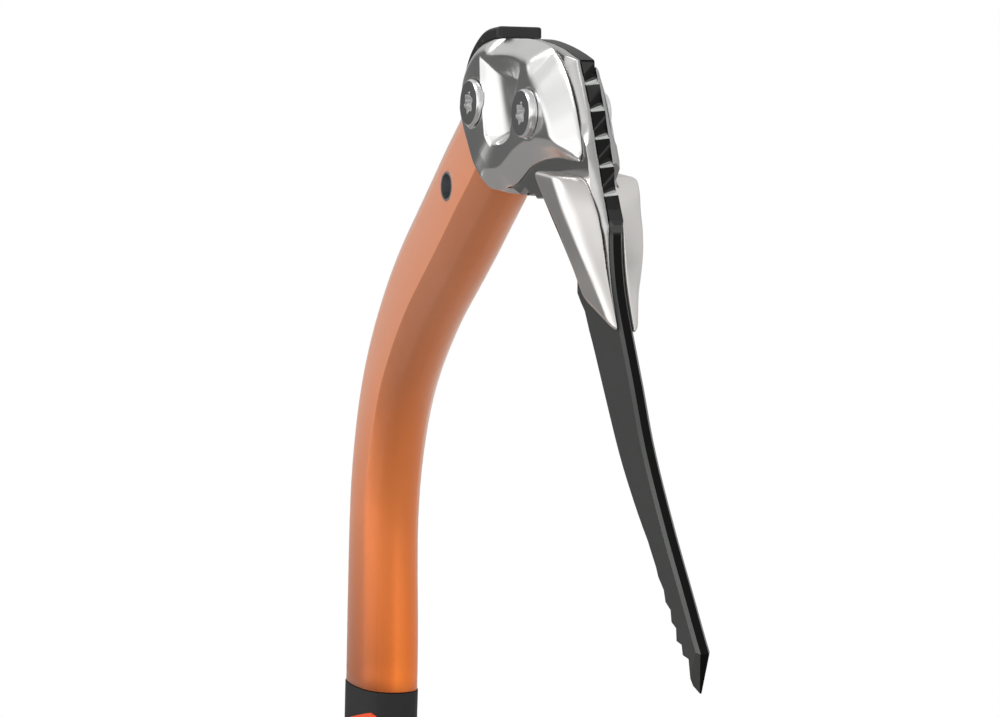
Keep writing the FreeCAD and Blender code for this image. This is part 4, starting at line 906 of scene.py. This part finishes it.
def floor_material():
    """Matt floor that glossy rays see as an even grey."""
    finish = material("studio_floor", colour=(0.80, 0.80, 0.79), metallic=0.0, roughness=0.75,
                      grain=30, bump=0.02, depth=0.0002, rough_spread=0.05, tone_spread=0.015)
    tree = finish.node_tree
    glossy = add_node(tree, "LightPath").outputs["Is Glossy Ray"]
    grey = add_node(tree, "Emission", {"Color": (0.31, 0.302, 0.297, 1)}).outputs[0]
    matt = find(tree, "BsdfPrincipled").outputs[0]
    mixed = add_node(tree, "MixShader", {0: glossy, 1: matt, 2: grey}).outputs[0]
    tree.links.new(mixed, find(tree, "OutputMaterial").inputs[0])
    return finish


def build_floor():
    """Round floor of concentric rings."""
    z, n = CAD_LO.z - FLOOR_GAP, FLOOR_SIDES
    verts = [(0.0, 0.0, z)]
    for radius in FLOOR_RADII:
        for k in range(n):
            angle = 2 * math.pi * k / n
            verts.append((radius * math.cos(angle), radius * math.sin(angle), z))
    faces = [(0, 1 + k, 1 + (k + 1) % n) for k in range(n)]
    for ring in range(len(FLOOR_RADII) - 1):
        for k in range(n):
            a, b = 1 + ring * n + k, 1 + ring * n + (k + 1) % n
            faces.append((a, a + n, b + n, b))
    mesh = bpy.data.meshes.new("studio_floor")
    mesh.from_pydata(verts, [], faces)
    mesh.update()
    mesh.materials.append(floor_material())
    obj = bpy.data.objects.new("studio_floor", mesh)
    bpy.context.scene.collection.objects.link(obj)


# ------------------------------------------------------------------- world
# (azimuth in degrees from +X towards +Y, brightness of the room at eye level)
ROOM = [(-180, 0.42), (-168, 0.15), (-154, 0.125), (-142, 0.130), (-128, 1.30), (-100, 1.35),
        (-72, 1.20), (-52, 1.0), (-34, 0.95), (-14, 0.55), (2, 1.0), (14, 1.25), (30, 0.60),
        (60, 0.36), (84, 0.55), (110, 0.60), (140, 0.40), (165, 0.55), (180, 0.42)]
# the rest is by the z of the direction, -1 down to 1 up
EYE_LEVEL = [(-1.0, 0.0), (-0.62, 0.25), (-0.30, 1.0), (0.23, 1.0), (0.46, 0.15), (1.0, 0.0)]
GROUND_TO_CEILING = [(-1.0, 0.10), (-0.4, 0.16), (0.1, 0.40), (0.5, 0.72), (1.0, 0.55)]
BOX_AZIMUTH = [(-180, 0), (-128, 0), (-116, 1.0), (-78, 1.0), (-62, 0), (180, 0)]
BOX_HEIGHT = [(-1, 0), (0.0, 0.6), (0.1, 0.6), (0.56, 0.6), (0.70, 0), (1, 0)]
# ramp colours hold half the brightness, and the background doubles it
RAMP_GAIN, ROOM_STRENGTH = 0.5, 2.0


def build_world():
    """Studio room for lighting and reflections; the camera itself sees white."""
    world = bpy.data.worlds.new("studio")
    bpy.context.scene.world = world
    world.use_nodes = True
    tree = world.node_tree
    tree.nodes.clear()
    out = add_node(tree, "OutputWorld")
    direction = separate(tree, add_node(tree, "TexCoord").outputs["Generated"])
    angle = math_node(tree, "ARCTAN2", direction["Y"], direction["X"])
    azimuth = span(tree, angle, -math.pi, math.pi)
    height = span(tree, direction["Z"], -1.0, 1.0)
    around = {"low": -180, "high": 180, "ease": True}
    upward = {"low": -1, "high": 1}

    room = ramp(tree, azimuth, ROOM, gain=RAMP_GAIN, **around)
    level = ramp(tree, height, EYE_LEVEL, ease=True, **upward)
    poles = ramp(tree, height, GROUND_TO_CEILING, gain=RAMP_GAIN, **upward)
    light = mix_colour(tree, poles, room, level, "MIX")
    # tall soft box on the left
    box = mix_colour(tree,
                     ramp(tree, azimuth, BOX_AZIMUTH, insert_at=0.5, **around),
                     ramp(tree, height, BOX_HEIGHT, insert_at=0.5, ease=True, **upward))
    light = mix_colour(tree, light, box, blend="LIGHTEN")

    studio = add_node(tree, "Background", {"Color": light, "Strength": ROOM_STRENGTH})
    white = add_node(tree, "Background", {"Color": (1, 1, 1, 1), "Strength": 1.0})
    seen = add_node(tree, "LightPath").outputs["Is Camera Ray"]
    mixed = add_node(tree, "MixShader", {0: seen, 1: studio.outputs[0], 2: white.outputs[0]})
    tree.links.new(mixed.outputs[0], out.inputs[0])


# -------------------------------------------------------- lights and camera
LIGHT_TARGET = (0, 0, -0.2)


def add_area(name, location, size, power):
    light = bpy.data.lights.new(name, "AREA")
    light.shape = "RECTANGLE"
    light.size, light.size_y = size
    light.energy = power
    obj = bpy.data.objects.new(name, light)
    obj.location = location
    aim = Vector(LIGHT_TARGET) - Vector(location)
    obj.rotation_euler = aim.to_track_quat("-Z", "Y").to_euler()
    bpy.context.scene.collection.objects.link(obj)
    return obj


def add_camera():
    data = bpy.data.cameras.new("camera")
    data.lens = 162.0
    data.sensor_width = 36.0
    data.clip_start = 0.05
    data.clip_end = 30.0
    camera = bpy.data.objects.new("camera", data)
    camera.location = (1.19166, -0.48933, -0.04914)
    aim = Vector((-0.92321, 0.38430, 0.0))
    camera.rotation_euler = aim.to_track_quat("-Z", "Y").to_euler()
    bpy.context.scene.collection.objects.link(camera)
    bpy.context.scene.camera = camera


build_floor()
build_world()
add_area("key_soft", location=(-0.6, -1.9, 1.9), size=(1.4, 1.0), power=24.0)
fill = add_area("fill_soft", location=(1.6, 0.8, 1.2), size=(1.2, 1.0), power=13.0)
fill.visible_glossy = False
add_camera()
bpy.context.scene.view_settings.view_transform = "Standard"
bpy.context.scene.view_settings.look = "None"
